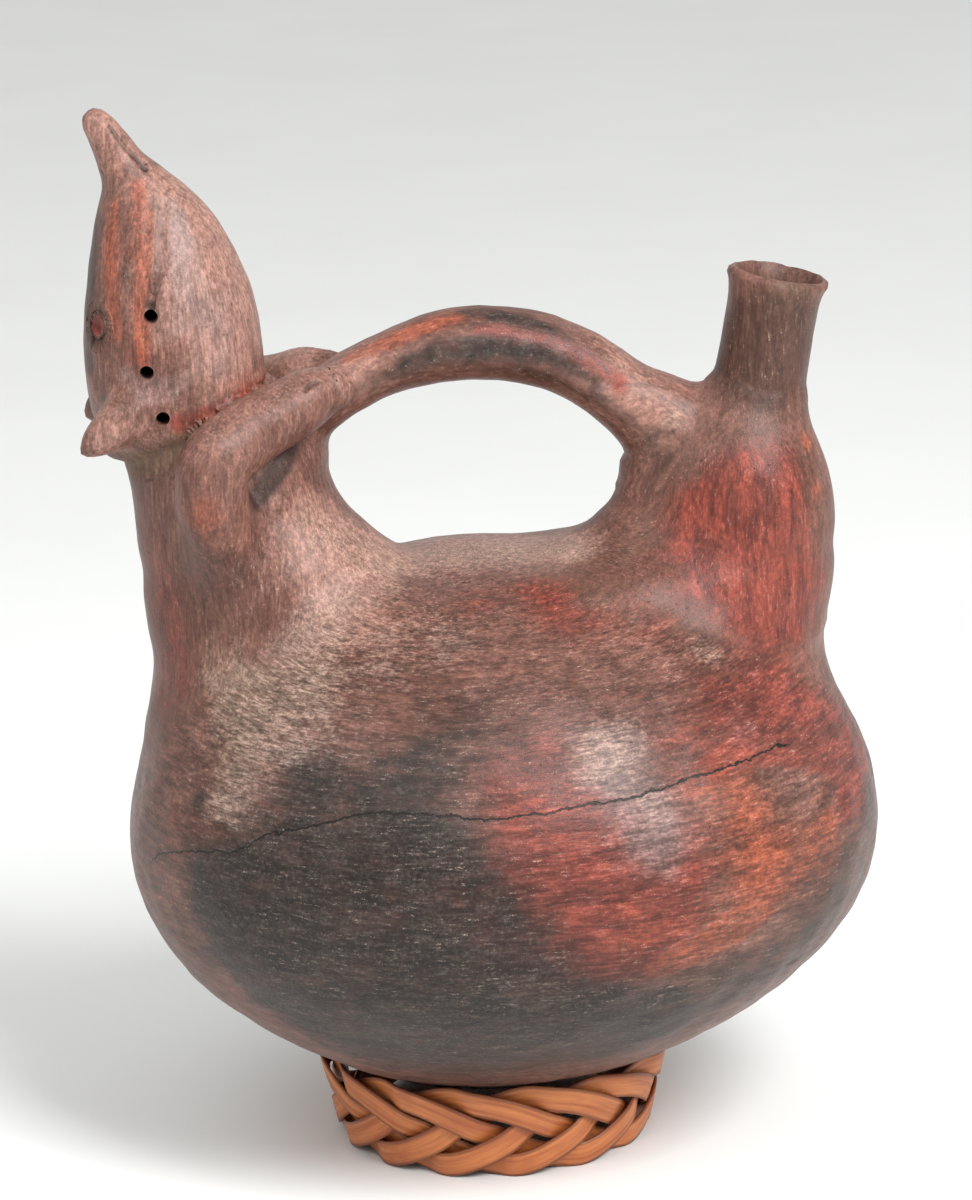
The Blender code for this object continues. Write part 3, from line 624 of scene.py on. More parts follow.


# stains: x, y, z, radius in mm, strength. Some of them are painted shade and painted highlights, as marked
# below. The unseen side has plainer ones

stains = {
    "soot": [
        (-42, -76, 88, 24, 1), (-61, -63, 77, 18, 0.9), (-25, -81, 94, 18, 0.9), (-16, -85, 80, 20, 0.8),
        (-69, -55, 86, 10, 0.7), (-7, -80, 60, 22, 0.9), (17, -72, 51, 20, 0.8), (36, -67, 51, 15, 0.7),
        (58, -59, 57, 11, 0.5), (-48, -70, 65, 18, 0.9), (-27, -69, 49, 20, 0.9), (-72, -44, 104, 2.5, 0.8),
        (72, -56, 89, 6, 0.4), (87, -39, 84, 5, 0.4), (-93, -6, 221, 3, 0.5), (-48, -60, 116, 7, 0.5),
        (-19, -70, 119, 8, 0.5), (-40, -66, 112, 9, 0.4), (-62, -29, 159, 6, 0.5), (0, 0, 22, 45, 0.9),
        (-8, -64, 124, 14, 0.35), (-81, -12, 238, 1.8, 0.5), (-92, -5, 230, 3, 0.8), (-93, -7, 209, 3, 0.6),
        (-78, -19, 221, 2, 0.7), (-78, -20, 202, 3, 0.5), (-92, 6, 222, 4, 0.7), (3, 9, 208, 7, 0.7),
        (30, 70, 60, 26, 0.9), (-45, 62, 72, 24, 0.9), (-5, 78, 62, 20, 0.8), (55, 60, 75, 14, 0.6),
    ],
    # umber: dark brown clay on the spout and the body's middle, and painted shade on the web and underside of
    # the handle, down the chamber's and the body's right edges, at the lower right and beside the torso
    "umberAndShade": [
        (76, -10, 208, 11, 1), (71, -10, 196, 11, 1), (73, 9, 204, 14, 0.9), (64, -8, 200, 7, 0.7),
        (45, -20, 158, 9, 0.5), (41, -17, 176, 8, 0.4), (84, -8, 160, 8, 0.6), (86, -6, 140, 8, 0.6),
        (80, -45, 70, 15, 0.9), (60, -58, 54, 17, 0.8), (93, -18, 84, 11, 0.8), (95, 4, 92, 16, 0.6),
        (-18, -58, 131, 11, 0.6), (0, -68, 122, 14, 0.6), (20, -56, 133, 8, 0.4), (47, -14, 176, 9, 0.6),
        (-84, -14, 118, 9, 0.5), (96, -8, 106, 10, 0.5), (89, -32, 95, 8, 0.5), (49, -26, 138, 9, 0.5),
        (-80, -18, 168, 7, 0.4), (10, -9, 200, 9, 0.4), (-70, 40, 120, 18, 0.6), (60, 30, 140, 14, 0.5),
        (-10, 66, 118, 14, 0.5),
    ],
    "red": [
        (27, -81, 91, 18, 0.7), (13, -82, 97, 18, 0.8), (31, -80, 76, 12, 0.7), (83, -30, 107, 11, 1),
        (90, -15, 104, 10, 0.9), (87, -35, 93, 8, 0.8), (71, -32, 121, 10, 0.8), (64, -46, 118, 10, 0.7),
        (54, -47, 124, 9, 0.6), (66, -23, 158, 13, 1), (58, -22, 150, 12, 0.9), (73, -19, 173, 8, 0.7),
        (62, -20, 172, 9, 0.7), (53, -18, 162, 8, 0.7), (78, -18, 140, 9, 0.9), (66, -25, 140, 10, 0.8),
        (13, -28, 148, 8, 0.7), (19, -38, 143, 9, 0.6), (-2, -32, 147, 7, 0.5), (37, -34, 141, 8, 0.5),
        (46, -60, 118, 12, 0.6), (8, -75, 114, 14, 0.6), (-7, -85, 89, 9, 0.6), (2, -86, 82, 11, 0.8),
        (12, -84, 73, 9, 0.7), (23, -83, 72, 9, 0.6), (44, -75, 91, 10, 0.5), (-54, -38, 129, 6, 0.3),
        (-82, -12, 154, 10, 0.5), (-79, -16, 136, 10, 0.6), (-85, -12, 106, 9, 0.4),
        (-76, -18, 121, 8, 0.4), (-82, -19, 209, 4, 0.6), (-79, -20, 198, 4, 0.6), (-55, -11, 210, 6, 0.4),
        (-86, 14, 214, 6, 0.6), (10, 80, 105, 24, 0.9), (60, 50, 112, 18, 0.9), (66, 22, 152, 14, 0.9),
        (-55, 50, 110, 14, 0.6), (-76, 20, 140, 12, 0.6), (-40, 40, 138, 12, 0.5),
    ],
    "orange": [
        (62, -65, 87, 11, 1), (78, -50, 88, 9, 0.7), (57, -62, 106, 8, 0.7), (46, -74, 73, 8, 0.5),
        (47, -67, 108, 5, 0.4), (31, -81, 80, 7, 0.5), (28, -9, 199, 4, 0.4), (-82, -15, 234, 3.5, 0.6),
        (-81, -12, 242, 3, 0.6), (-80, -18, 222, 4, 0.5), (-67, -33, 173, 7, 0.6), (81, -10, 178, 3, 0.8),
        (83, -14, 167, 2.5, 0.8), (-58, -14, 197, 4, 0.5), (-71, -18, 188, 2, 0.4), (31, -74, 58, 8, 0.3),
        (-62, -54, 58, 4, 0.3), (-60, -28, 163, 4, 0.4), (-70, -32, 98, 5, 0.4), (20, 76, 84, 15, 0.7),
        (-70, 40, 95, 9, 0.6), (-82, 15, 232, 5, 0.7), (75, 40, 100, 10, 0.7), (24, 8, 200, 5, 0.6),
    ],
    # worn, paler ground, and painted light on the head's upper edge toward the handle
    "roseAndLight": [
        (-45, -22, 160, 14, 0.5), (-44, 14, 200, 8, 0.9), (-66, -4, 240, 9, 0.8), (-70, -6, 248, 7, 0.8),
        (-35, -28, 146, 12, 0.6), (-24, -40, 141, 10, 0.6), (-62, -24, 186, 11, 0.5),
        (-38, -18, 164, 9, 0.9), (-66, -14, 230, 15, 0.7), (-62, -13, 210, 15, 0.7), (-90, -20, 190, 10, 1),
        (-88, -3, 262, 11, 0.9), (34, -8, 194, 10, 0.6), (-30, -8, 201, 9, 0.8), (-26, -10, 153, 9, 0.9),
        (-8, -3, 152, 12, 0.9), (8, -2, 152, 12, 0.9), (22, -10, 153, 8, 0.8), (46, -10, 182, 8, 0.5),
        (80, -20, 130, 6, 0.3), (-70, -35, 122, 10, 0.5), (-46, 22, 162, 20, 0.7), (-66, 14, 222, 22, 0.8),
        (0, 20, 149, 20, 0.8), (-30, 50, 130, 22, 0.6), (30, 8, 196, 14, 0.8), (-20, 70, 100, 14, 0.5),
    ],
    # grey violet bloom, and painted highlights: the glare on the body's front and glints along the handle's
    # top
    "ashAndHighlight": [
        (-63, -58, 108, 8, 0.5), (-48, -60, 118, 10, 0.4), (26, -69, 119, 9, 0.6), (24, -74, 111, 8, 0.4),
        (35, -74, 104, 8, 0.8), (36, -77, 97, 7, 0.8), (60, -50, 120, 6, 0.4), (-20, -74, 76, 16, 0.2),
        (-68, -16, 222, 11, 0.6), (-62, -14, 206, 9, 0.4), (12, -9, 206, 2, 0.8), (20, -9, 203, 2.2, 0.8),
        (31, -10, 195, 2.2, 0.7), (57, -12, 178, 6, 0.4), (30, 74, 96, 14, 0.5), (-62, 15, 228, 9, 0.6),
    ],
    # olive dirt in rough places
    "earth": [
        (-80, -14, 183, 6, 1), (-72, -20, 186, 5, 1), (-87, -6, 181, 6, 0.8), (-80, 14, 184, 8, 0.8),
        (-74, -22, 160, 10, 0.6), (-72, -28, 138, 10, 0.6), (77, -12, 215, 7, 0.8), (76, 4, 218, 9, 0.8),
        (34, -18, 158, 8, 0.5), (-58, 28, 150, 14, 0.6), (-88, -30, 96, 12, 0.5), (-80, -44, 70, 12, 0.5),
        (70, -40, 62, 18, 0.6), (-18, -60, 128, 12, 0.5), (0, -6, 152, 14, 0.5), (36, -77, 98, 8, 0.5),
        (50, -66, 112, 6, 0.3), (-52, -20, 178, 5, 0.6), (-66, -52, 112, 10, 0.7), (-60, -38, 125, 12, 0.8),
        (-44, -44, 132, 10, 0.5),
    ],
    # pale worn patches, and a painted highlight where the glare falls on the body's front
    "paleAndHighlight": [
        (-65, -52, 106, 7, 0.9), (-58, -50, 118, 7, 0.7), (-47, -56, 120, 8, 0.5), (-40, -50, 130, 10, 0.5),
        (-60, -38, 126, 10, 0.8), (-50, -44, 128, 10, 0.7), (-68, -30, 131, 8, 0.6),
        (-44, -34, 140, 9, 0.6), (-10, -42, 141, 8, 0.5), (-8, -2, 152, 12, 0.6), (10, -2, 152, 11, 0.6),
        (22, -12, 153, 7, 0.6), (-26, -12, 152, 9, 0.7), (-31, -24, 147, 9, 0.4), (-25, -43, 139, 9, 0.4),
        (27, -67, 119, 8, 0.9), (20, -71, 115, 6, 0.6), (35, -73, 106, 6, 0.6), (27, -10, 199, 2, 0.6),
        (48, -9, 185, 3, 0.5), (-41, -31, 139, 9, 0.3), (-16, -54, 135, 9, 0.3), (52, -36, 132, 6, 0.7),
        (36, -39, 138, 6, 0.3), (-38, -18, 164, 8, 0.6), (-64, -14, 228, 6, 0.3), (76, -11, 214, 5, 0.4),
        (86, -8, 114, 4, 0.4), (-35, -73, 107, 6, 0.3), (-52, -25, 191, 4, 0.5), (-40, -74, 72, 5, 0.3),
        (10, -82, 66, 7, 0.4), (-35, 45, 132, 14, 0.6), (25, 62, 122, 12, 0.7), (0, 84, 90, 9, 0.5),
        (-60, 40, 126, 9, 0.5),
    ],
}

stainSpread = 1.25

# stripes: stain, strength, then points with a radius
stripes = [
    ("orange", 0.75, [(-85, -8, 244, 1), (-87, -11.5, 235, 1.8), (-87.5, -14, 225, 1.8),
     (-86.5, -16, 214, 1.2)]),
    ("orange", 0.75, [(-80, -8, 249, 1), (-79, -13.5, 240, 1.6), (-79.5, -17, 230, 1.6),
     (-80.5, -19, 219, 1.6), (-81, -20, 208, 1)]),
    ("soot", 0.6, [(-83, -10, 243, 0.6), (-83.2, -14, 234, 0.8), (-83, -16, 225, 0.6)]),
    ("soot", 0.75, [(-90, -3, 240, 2), (-93, -6, 228, 2.6), (-95, -7, 216, 2), (-94.5, -8, 205, 2.4)]),
    ("red", 1.0, [(-52, -3, 196.5, 1.6), (-57, -13, 197, 2), (-65, -18.5, 194.5, 1.8),
     (-73, -20.5, 192.5, 1.4)]),
    ("orange", 0.5, [(-50, -3, 200, 1.6), (-56, -12, 201, 1.8), (-63, -17, 199, 1.6)]),
    ("orange", 0.8, [(-31, -5, 203, 1), (-22, -6, 207, 2), (-13, -5, 210, 2.2), (-4, -5, 211.5, 1.4)]),
    ("soot", 0.95, [(-18, -9, 202.5, 1), (-6, -10, 205, 2.2), (6, -10, 205, 2.4), (17, -10, 203, 1.8),
     (29, -10, 196, 0.8)]),
    ("soot", 0.85, [(-2, -3, 212.5, 1), (8, -5, 211.5, 1.8), (18, -6, 208, 1.4), (24, -6, 205, 0.8)]),
    ("red", 0.95, [(1, -8, 209, 1), (15, -8, 206.5, 1.8), (25, -8, 202, 2.2), (35, -9, 195, 1.6)]),
    # painted shade along the handle's underside
    ("umberAndShade", 0.7, [(-34, -8, 194, 1.5), (-20, -9, 200, 1.5), (0, -8, 201, 2), (20, -8, 197, 2),
     (36, -9, 186, 2)]),
    ("soot", 0.45, [(-10, -86, 100, 2), (-30, -80, 103, 3), (-50, -68, 100, 3), (-66, -54, 96, 3)]),
    ("orange", 0.75, [(35, -80, 66, 3), (55, -69, 75, 5), (70, -57, 86, 5), (80, -46, 92, 3)]),
    ("soot", 0.5, [(56, -66, 84, 1), (70, -57, 91, 1), (86, -36, 100, 0.8)]),
    ("soot", 0.6, [(40, -76, 62, 1.5), (62, -60, 74, 2), (80, -42, 84, 1.5)]),
    ("red", 0.8, [(50, -62, 112, 4), (66, -48, 112, 5), (82, -34, 104, 5), (92, -18, 100, 5)]),
    ("umberAndShade", 0.7, [(76, -8, 216, 2), (73, -11, 206, 3), (70, -12, 198, 3)]),
    ("soot", 0.4, [(30, -16, 186, 1), (40, -18, 172, 2), (36, -19, 160, 1.5)]),
    ("soot", 0.5, [(-75, -10, 245, 0.5), (-75.6, -14.5, 237, 0.6), (-76.8, -18, 228, 0.6)]),
    ("ashAndHighlight", 0.9, [(-72, -9, 244, 1.2), (-71, -13, 236, 2.4), (-71, -17, 226, 2.4), (-71, -19, 216, 1.6)]),
    ("ashAndHighlight", 0.7, [(-84, -17, 204, 2), (-79, -20, 200, 3), (-72, -21, 203, 2)]),
    ("soot", 0.35, [(-62, -64, 112, 4), (-30, -74, 112, 6), (0, -74, 116, 5), (25, -70, 118, 2)]),
    ("soot", 0.45, [(-50, -66, 60, 5), (0, -76, 48, 6), (50, -62, 54, 8), (78, -42, 66, 7)]),
    ("soot", 0.5, [(82, -44, 78, 3), (95, -22, 90, 4), (97, 0, 92, 4)]),
    ("umberAndShade", 0.5, [(-60, -50, 124, 2), (-30, -56, 130, 3), (0, -60, 128, 2), (26, -60, 126, 2)]),
    ("umberAndShade", 0.5, [(-30, -46, 138, 1), (-8, -46, 140, 2), (16, -44, 141, 1)]),
]


def stainShare(p, spots):
    # share(p) = sum over the spots of strength * exp(-1.2 * (distance / (spread * radius))^2), no more than 1
    total = np.zeros(len(p))
    for x, y, z, radius, strength in spots:
        away = ((p - (x, y, z)) ** 2).sum(1) / (radius * stainSpread) ** 2
        total += strength * np.exp(-1.2 * away)
    return np.minimum(total, 1)


def paintVessel(obj):
    # where each stain lies, and two sets of coordinates, squeezed six times along the burnishing strokes
    placed = corners(obj.data) * 1000
    p = placed - vessel["shift"]
    f = formFields(p)
    shares = {name: stainShare(placed, spots) for name, spots in stains.items()}
    for name, strength, knots in stripes:
        near = np.clip(0.85 - rodField(placed, smoothRows(knots, 3, 40), 8) / 3, 0, 1)
        shares[name] = np.maximum(shares[name], strength * near)
    eye = eyeShare(p)
    shares["eyeRing"] = np.clip(1.7 - np.abs(eye - 1) / 0.16, 0, 1)
    shares["red"] = np.maximum(shares["red"], 1.4 * (eye < 0.5))
    for name, share in shares.items():
        writeAttribute(obj.data, name, share)
    q = p - np.array(vessel["bodyCentre"])
    angle = np.arctan2(q[:, 1], q[:, 0])
    height = 80 * np.arctan2(q[:, 2], np.hypot(q[:, 0], q[:, 1]))
    writeAttribute(obj.data, "strokeRound", np.stack([15 * np.cos(angle), 15 * np.sin(angle), height], -1))
    upright = p * (1, 1, 1 / 6)
    alongHandle = np.stack([f["handleAt"] * 200 / 6, p[:, 1], 1.5 * f["handle"] + p[:, 2] / 3], -1)
    others = np.minimum(np.minimum(f["torso"], f["head"]), np.minimum(f["chamber"], f["spout"]))
    onHandle = (f["handle"] < others) & (f["handle"] < f["arms"])
    writeAttribute(obj.data, "strokeAlong", np.where(onHandle[:, None], alongHandle, upright))
    rest = np.minimum(np.minimum(others, f["foot"]), np.minimum(f["handle"], f["arms"]))
    writeAttribute(obj.data, "bodyShare", np.clip(0.5 + (rest - f["body"]) / 14, 0, 1))
    crease = np.clip(1 - np.abs(rest - f["body"]) / 9, 0, 1) * np.clip(1 - np.abs(f["body"]) / 6, 0, 1)
    under = np.clip(1 - np.abs(np.minimum(f["head"], f["ears"]) - f["torso"]) / 4, 0, 1)
    writeAttribute(obj.data, "crease", np.maximum(crease * 0.6, under * (np.abs(f["head"]) < 6)))
    inside = (np.minimum(rest, f["body"]) < -2.2) & (f["head"] < 60)
    writeAttribute(obj.data, "inside", inside.astype(float))
    # painted shade: darker along the carved lines, in the moat round each pupil and in the crevice under each
    # forearm
    lines = np.zeros(len(p))
    for rows, strength in zip(lineRows, vessel["lineDarkness"]):
        lines = np.maximum(lines, strength * np.clip(0.9 - onBothSides(p, rows) / 0.6, 0, 1))
    lines = np.maximum(lines, 0.7 * np.clip(1.3 - np.abs(eye - 0.66) / 0.12, 0, 1))
    # painted shade in the crevice under each forearm
    deep = np.clip(1 - onBothSides(p, underArmShadeRows) / 1.5, 0, 1) * np.clip(f["arms"] / 0.6, 0, 1)
    lines = np.maximum(lines, 0.75 * deep)
    writeAttribute(obj.data, "line", lines)
    obj.data.shade_smooth()
    obj.data.set_sharp_from_angle(angle=math.radians(60))


paintVessel(vesselPiece)
print("stains laid")


# materials


def paint(*screen):
    # a colour as it looks on a screen, made linear
    return tuple(c / 12.92 if c <= 0.04045 else ((c + 0.055) / 1.055) ** 2.4 for c in screen) + (1,)


def newMaterial(name):
    made = bpy.data.materials.new(name)
    made.use_nodes = True
    tree = made.node_tree
    return made, tree, tree.nodes["Principled BSDF"]


def addNode(tree, kind, inputs=(), **settings):
    # each input is a link where a socket is given, and a plain value otherwise
    made = tree.nodes.new("ShaderNode" + kind)
    for key, value in settings.items():
        setattr(made, key, value)
    for key, value in dict(inputs).items():
        if isinstance(value, bpy.types.NodeSocket):
            tree.links.new(value, made.inputs[key])
        else:
            made.inputs[key].default_value = value
    return made


def attribute(tree, name, output="Fac"):
    return addNode(tree, "Attribute", attribute_name=name).outputs[output]


def millimetres(tree):
    # the piece's own coordinates in millimetres
    place = addNode(tree, "TexCoord").outputs["Object"]
    return addNode(tree, "VectorMath", {0: place, 3: 1000.0}, operation="SCALE").outputs[0]


def noise(tree, place, scale, detail=4.0, rough=0.55):
    inputs = {"Vector": place, "Scale": scale, "Detail": detail, "Roughness": rough}
    return addNode(tree, "TexNoise", inputs).outputs["Fac"]


def maths(tree, operation, a, b=0.0, c=0.5):
    return addNode(tree, "Math", {0: a, 1: b, 2: c}, operation=operation).outputs[0]


def times(tree, a, b):
    return maths(tree, "MULTIPLY", a, b)


def weighted(tree, *parts):
    # the sum of each value times its weight
    total = times(tree, *parts[0])
    for value, weight in parts[1:]:
        total = maths(tree, "ADD", total, times(tree, value, weight))
    return total


def vectorMaths(tree, operation, a, b=(0, 0, 0), output="Vector"):
    return addNode(tree, "VectorMath", {0: a, 1: b}, operation=operation).outputs[output]


def steps(tree, value, low, high, toLow=0.0, toHigh=1.0, smooth=True):
    # value from low to high becomes toLow to toHigh
    inputs = {"Value": value, "From Min": low, "From Max": high, "To Min": toLow, "To Max": toHigh}
    kind = "SMOOTHSTEP" if smooth else "LINEAR"
    return addNode(tree, "MapRange", inputs, interpolation_type=kind).outputs["Result"]


def mixColour(tree, share, a, b, blend="MIX"):
    return addNode(tree, "Mix", {0: share, 6: a, 7: b}, data_type="RGBA", blend_type=blend).outputs[2]


def mixValue(tree, share, a, b):
    return addNode(tree, "Mix", {0: share, 2: a, 3: b}, data_type="FLOAT").outputs[0]


def bumped(tree, shader, height, strength, distance):
    bump = addNode(tree, "Bump", {"Strength": strength, "Distance": distance, "Height": height})
    tree.links.new(bump.outputs[0], shader.inputs["Normal"])


clay = {
    "brown": paint(0.42, 0.27, 0.225),
    "dusky": paint(0.33, 0.225, 0.195),
    "umberAndShade": paint(0.295, 0.20, 0.16),
    "pink": paint(0.52, 0.36, 0.315),
    "roseAndLight": paint(0.67, 0.50, 0.445),
    "ashAndHighlight": paint(0.60, 0.505, 0.49),
    "tan": paint(0.80, 0.65, 0.56),
    "earth": paint(0.47, 0.37, 0.295),
    "red": paint(0.58, 0.265, 0.21),
    "deepRed": paint(0.44, 0.185, 0.15),
    "orange": paint(0.70, 0.34, 0.22),
    "soot": paint(0.165, 0.155, 0.145),
    "sootLight": paint(0.29, 0.265, 0.245),
    "dust": paint(0.76, 0.66, 0.60),
    "crack": paint(0.08, 0.05, 0.04),
    "inside": paint(0.34, 0.27, 0.20),
    # noises: scale, detail, roughness. The first three run along the strokes of the burnishing stone
    "stroke": (1.7, 5, 0.65),
    "smear": (0.55, 6, 0.7),
    "band": (0.25, 5, 0.62),
    "patch": (0.03, 6, 0.6),
    "mottle": (0.12, 8, 0.68),
    "grain": (0.9, 6, 0.72),
    "fine": (2.6, 3, 0.6),
    "jitter": (0.3, 5, 0.6),
    # how much of each stain's share, with the ragged noise added, begins and fills it
    "edges": {"roseAndLight": (0.2, 1.0), "earth": (0.3, 1.0), "umberAndShade": (0.2, 1.1), "red": (0.12, 1.1),
              "orange": (0.15, 1.25), "ashAndHighlight": (0.1, 1.2), "soot": (0.12, 1.15), "paleAndHighlight": (0.2, 1.0)},
    "raggedness": 2.8,
    "bump": 0.3,
    "shine": 0.31,
    "specular": 0.3,
    # lowest and highest x, lowest and highest height of the long crack's curve
    "crackSpan": (-90.0, 80.0, 80.0, 120.0),
    "crackJitter": 3.0,
    # x and height in mm of points on the long crack
    "crackLine": [(-86, 83), (-76, 92), (-64, 95.6), (-55, 101.4), (-43, 104.8), (-29, 108.6),
                  (-12.7, 108.3), (-5.8, 107.2), (8.5, 108.1), (23, 108.9), (33, 109.3), (43, 110.8),
                  (53, 111.3), (63, 112), (72, 111.6)],
    "shortCracks": [((-86, -2, 173.6), (-81, -14, 177)), ((-81, -14, 177), (-74, -19, 178.6)),
                    ((36.6, -4, 171.2), (40.5, -8, 172)), ((53.7, -5.6, 188), (47.5, -10.2, 182.2)),
                    ((64.5, -37.4, 123.5), (76, -28, 118.2))],
}


def curveOf(tree, value, points):
    # the smooth curve through the points, all of them from 0 to 1
    made = addNode(tree, "FloatCurve", {"Value": value})
    curve = made.mapping.curves[0]
    curve.points[0].location, curve.points[-1].location = points[0], points[-1]
    for point in points[1:-1]:
        curve.points.new(*point)
    made.mapping.update()
    return made.outputs["Value"]


def crackMask(tree, place, jitter):
    # 1 where the height is the curve's at that x, on the near side, and on lines between pairs of points
    x, y, z = addNode(tree, "SeparateXYZ", {0: place}).outputs
    low, high, floor, top = clay["crackSpan"]
    at = steps(tree, x, low, high, smooth=False)
    line = [((a - low) / (high - low), (b - floor) / (top - floor)) for a, b in clay["crackLine"]]
    wanted = maths(tree, "MULTIPLY_ADD", curveOf(tree, at, line), top - floor, floor)
    shift = times(tree, maths(tree, "SUBTRACT", jitter, 0.5), clay["crackJitter"])
    away = maths(tree, "ABSOLUTE", maths(tree, "SUBTRACT", maths(tree, "ADD", z, shift), wanted))
    ends = times(tree, steps(tree, x, -87, -83), steps(tree, x, 74, 70))
    near = times(tree, ends, steps(tree, y, -10, -14))
    mask = times(tree, steps(tree, away, 0.36, 0.14), near)
    for a, b in clay["shortCracks"]:
        a, b = Vector(a), Vector(b)
        way, length = (b - a).normalized(), (b - a).length
        fromStart = vectorMaths(tree, "SUBTRACT", place, a)
        along = vectorMaths(tree, "DOT_PRODUCT", fromStart, way, "Value")
        cross = vectorMaths(tree, "CROSS_PRODUCT", fromStart, way)
        off = vectorMaths(tree, "LENGTH", cross, output="Value")
        off = maths(tree, "ABSOLUTE", maths(tree, "ADD", off, times(tree, shift, 0.35)))
        span = times(tree, steps(tree, along, -0.5, 0.5), steps(tree, along, length + 0.5, length - 0.5))
        mask = maths(tree, "MAXIMUM", mask, times(tree, steps(tree, off, 0.8, 0.2), span))
    return mask


def makeClay():
    # layers from the ground up: ground, stains with ragged edges, some of them painted shade and painted
    # highlights, wear, streaks, dust, then pits, cracks and the painted shade in the carved lines
    made, tree, shader = newMaterial("burnishedSlippedClay")
    place = millimetres(tree)
    roundBody, alongForm = attribute(tree, "strokeRound", "Vector"), attribute(tree, "strokeAlong", "Vector")
    body = attribute(tree, "bodyShare")

    def streaks(kind):
        return mixValue(tree, body, *(noise(tree, way, *clay[kind]) for way in (alongForm, roundBody)))

    stroke, smear, band = (streaks(kind) for kind in ("stroke", "smear", "band"))
    patch, mottle, grain, fine = (noise(tree, place, *clay[k]) for k in ("patch", "mottle", "grain", "fine"))
    ragged = weighted(tree, (mottle, 0.38), (band, 0.3), (stroke, 0.12), (grain, 0.2))
    push = times(tree, maths(tree, "SUBTRACT", ragged, 0.5), clay["raggedness"])

    def stain(name, most=1.0):
        return steps(tree, maths(tree, "ADD", attribute(tree, name), push), *clay["edges"][name], 0, most)

    redTone = mixColour(tree, steps(tree, band, 0.4, 0.6), clay["deepRed"], clay["red"])
    sootTone = mixColour(tree, steps(tree, grain, 0.45, 0.68, 0, 0.8), clay["soot"], clay["sootLight"])
    colour = mixColour(tree, steps(tree, patch, 0.38, 0.62), clay["brown"], clay["pink"])
    for share, tone in ((stain("roseAndLight", 0.9), clay["roseAndLight"]), (stain("earth", 0.8), clay["earth"]),
                        (steps(tree, mottle, 0.5, 0.7, 0, 0.4), clay["dusky"]),
                        (stain("umberAndShade", 0.85), clay["umberAndShade"]), (stain("red", 0.92), redTone),
                        (stain("orange", 0.85), clay["orange"]), (stain("ashAndHighlight", 0.7), clay["ashAndHighlight"]),
                        (stain("soot", 0.95), sootTone)):
        colour = mixColour(tree, share, colour, tone)
    chalky = weighted(tree, (stroke, 0.6), (fine, 0.4))
    # wear, and a painted highlight where the pale stain lies on the body's front, lightened toward dust
    wornAndHighlight = times(tree, stain("paleAndHighlight"), steps(tree, chalky, 0.42, 0.56, 0.25, 1))
    colour = mixColour(tree, times(tree, wornAndHighlight, 0.5), colour, clay["dust"])
    # streaks of the burnishing stone and grain, at full contrast on the body alone
    contrast = steps(tree, body, 0, 1, 0.75, 1)
    for pattern, darkest, lightest in ((smear, 0.76, 1.06), (stroke, 0.82, 1.04), (grain, 0.84, 1.04)):
        ends = (paint(*[grey] * 3) for grey in (darkest, lightest))
        tone = mixColour(tree, steps(tree, pattern, 0.36, 0.64), *ends)
        colour = mixColour(tree, contrast, colour, tone, "MULTIPLY")
    # pale flecks, the eye's ring, dark specks, and dust in the creases
    flecks = times(tree, steps(tree, chalky, 0.56, 0.66), steps(tree, mottle, 0.38, 0.6, 0.25, 1))
    flecks = times(tree, flecks, contrast)
    for share, tone in ((times(tree, flecks, 0.5), "dust"),
                        (times(tree, attribute(tree, "eyeRing"), 0.85), "tan"),
                        (steps(tree, fine, 0.42, 0.3, 0, 0.4), "dusky"),
                        (times(tree, attribute(tree, "crease"), 0.3), "earth")):
        colour = mixColour(tree, share, colour, clay[tone])
    pits = addNode(tree, "TexVoronoi", {"Vector": place, "Scale": 0.36}).outputs["Distance"]
    pit = times(tree, steps(tree, pits, 0.2, 0.08), steps(tree, mottle, 0.47, 0.58))
    crack = crackMask(tree, place, noise(tree, place, *clay["jitter"]))
    broken = times(tree, crack, steps(tree, grain, 0.3, 0.42))
    # painted shade in the carved lines, the moat round each pupil and the crevice under each forearm, mixed
    # with pits and cracks into the dark colour
    grooveShade = times(tree, attribute(tree, "line"), steps(tree, grain, 0.28, 0.52, 0.45, 1))
    dark = maths(tree, "MAXIMUM", maths(tree, "MAXIMUM", times(tree, pit, 0.4), broken), grooveShade)
    colour = mixColour(tree, dark, colour, clay["crack"])
    inner = attribute(tree, "inside")
    colour = mixColour(tree, times(tree, inner, 0.9), colour, clay["inside"])
    tree.links.new(colour, shader.inputs["Base Color"])
    rough = steps(tree, stroke, 0.35, 0.65, clay["shine"], clay["shine"] + 0.14)
    for share, more in ((wornAndHighlight, 0.15), (stain("earth"), 0.25), (flecks, 0.2)):
        rough = maths(tree, "ADD", rough, times(tree, share, more))
    tree.links.new(mixValue(tree, inner, rough, 0.85), shader.inputs["Roughness"])
    shader.inputs["Specular IOR Level"].default_value = clay["specular"]
    height = weighted(tree, (stroke, 0.45), (grain, 0.4), (fine, 0.15), (dark, -0.6))
    bumped(tree, shader, height, clay["bump"], 0.001)
    return made


strip = {
    "light": paint(0.76, 0.46, 0.25),
    "deep": paint(0.62, 0.32, 0.16),
    "dark": paint(0.32, 0.14, 0.07),
}


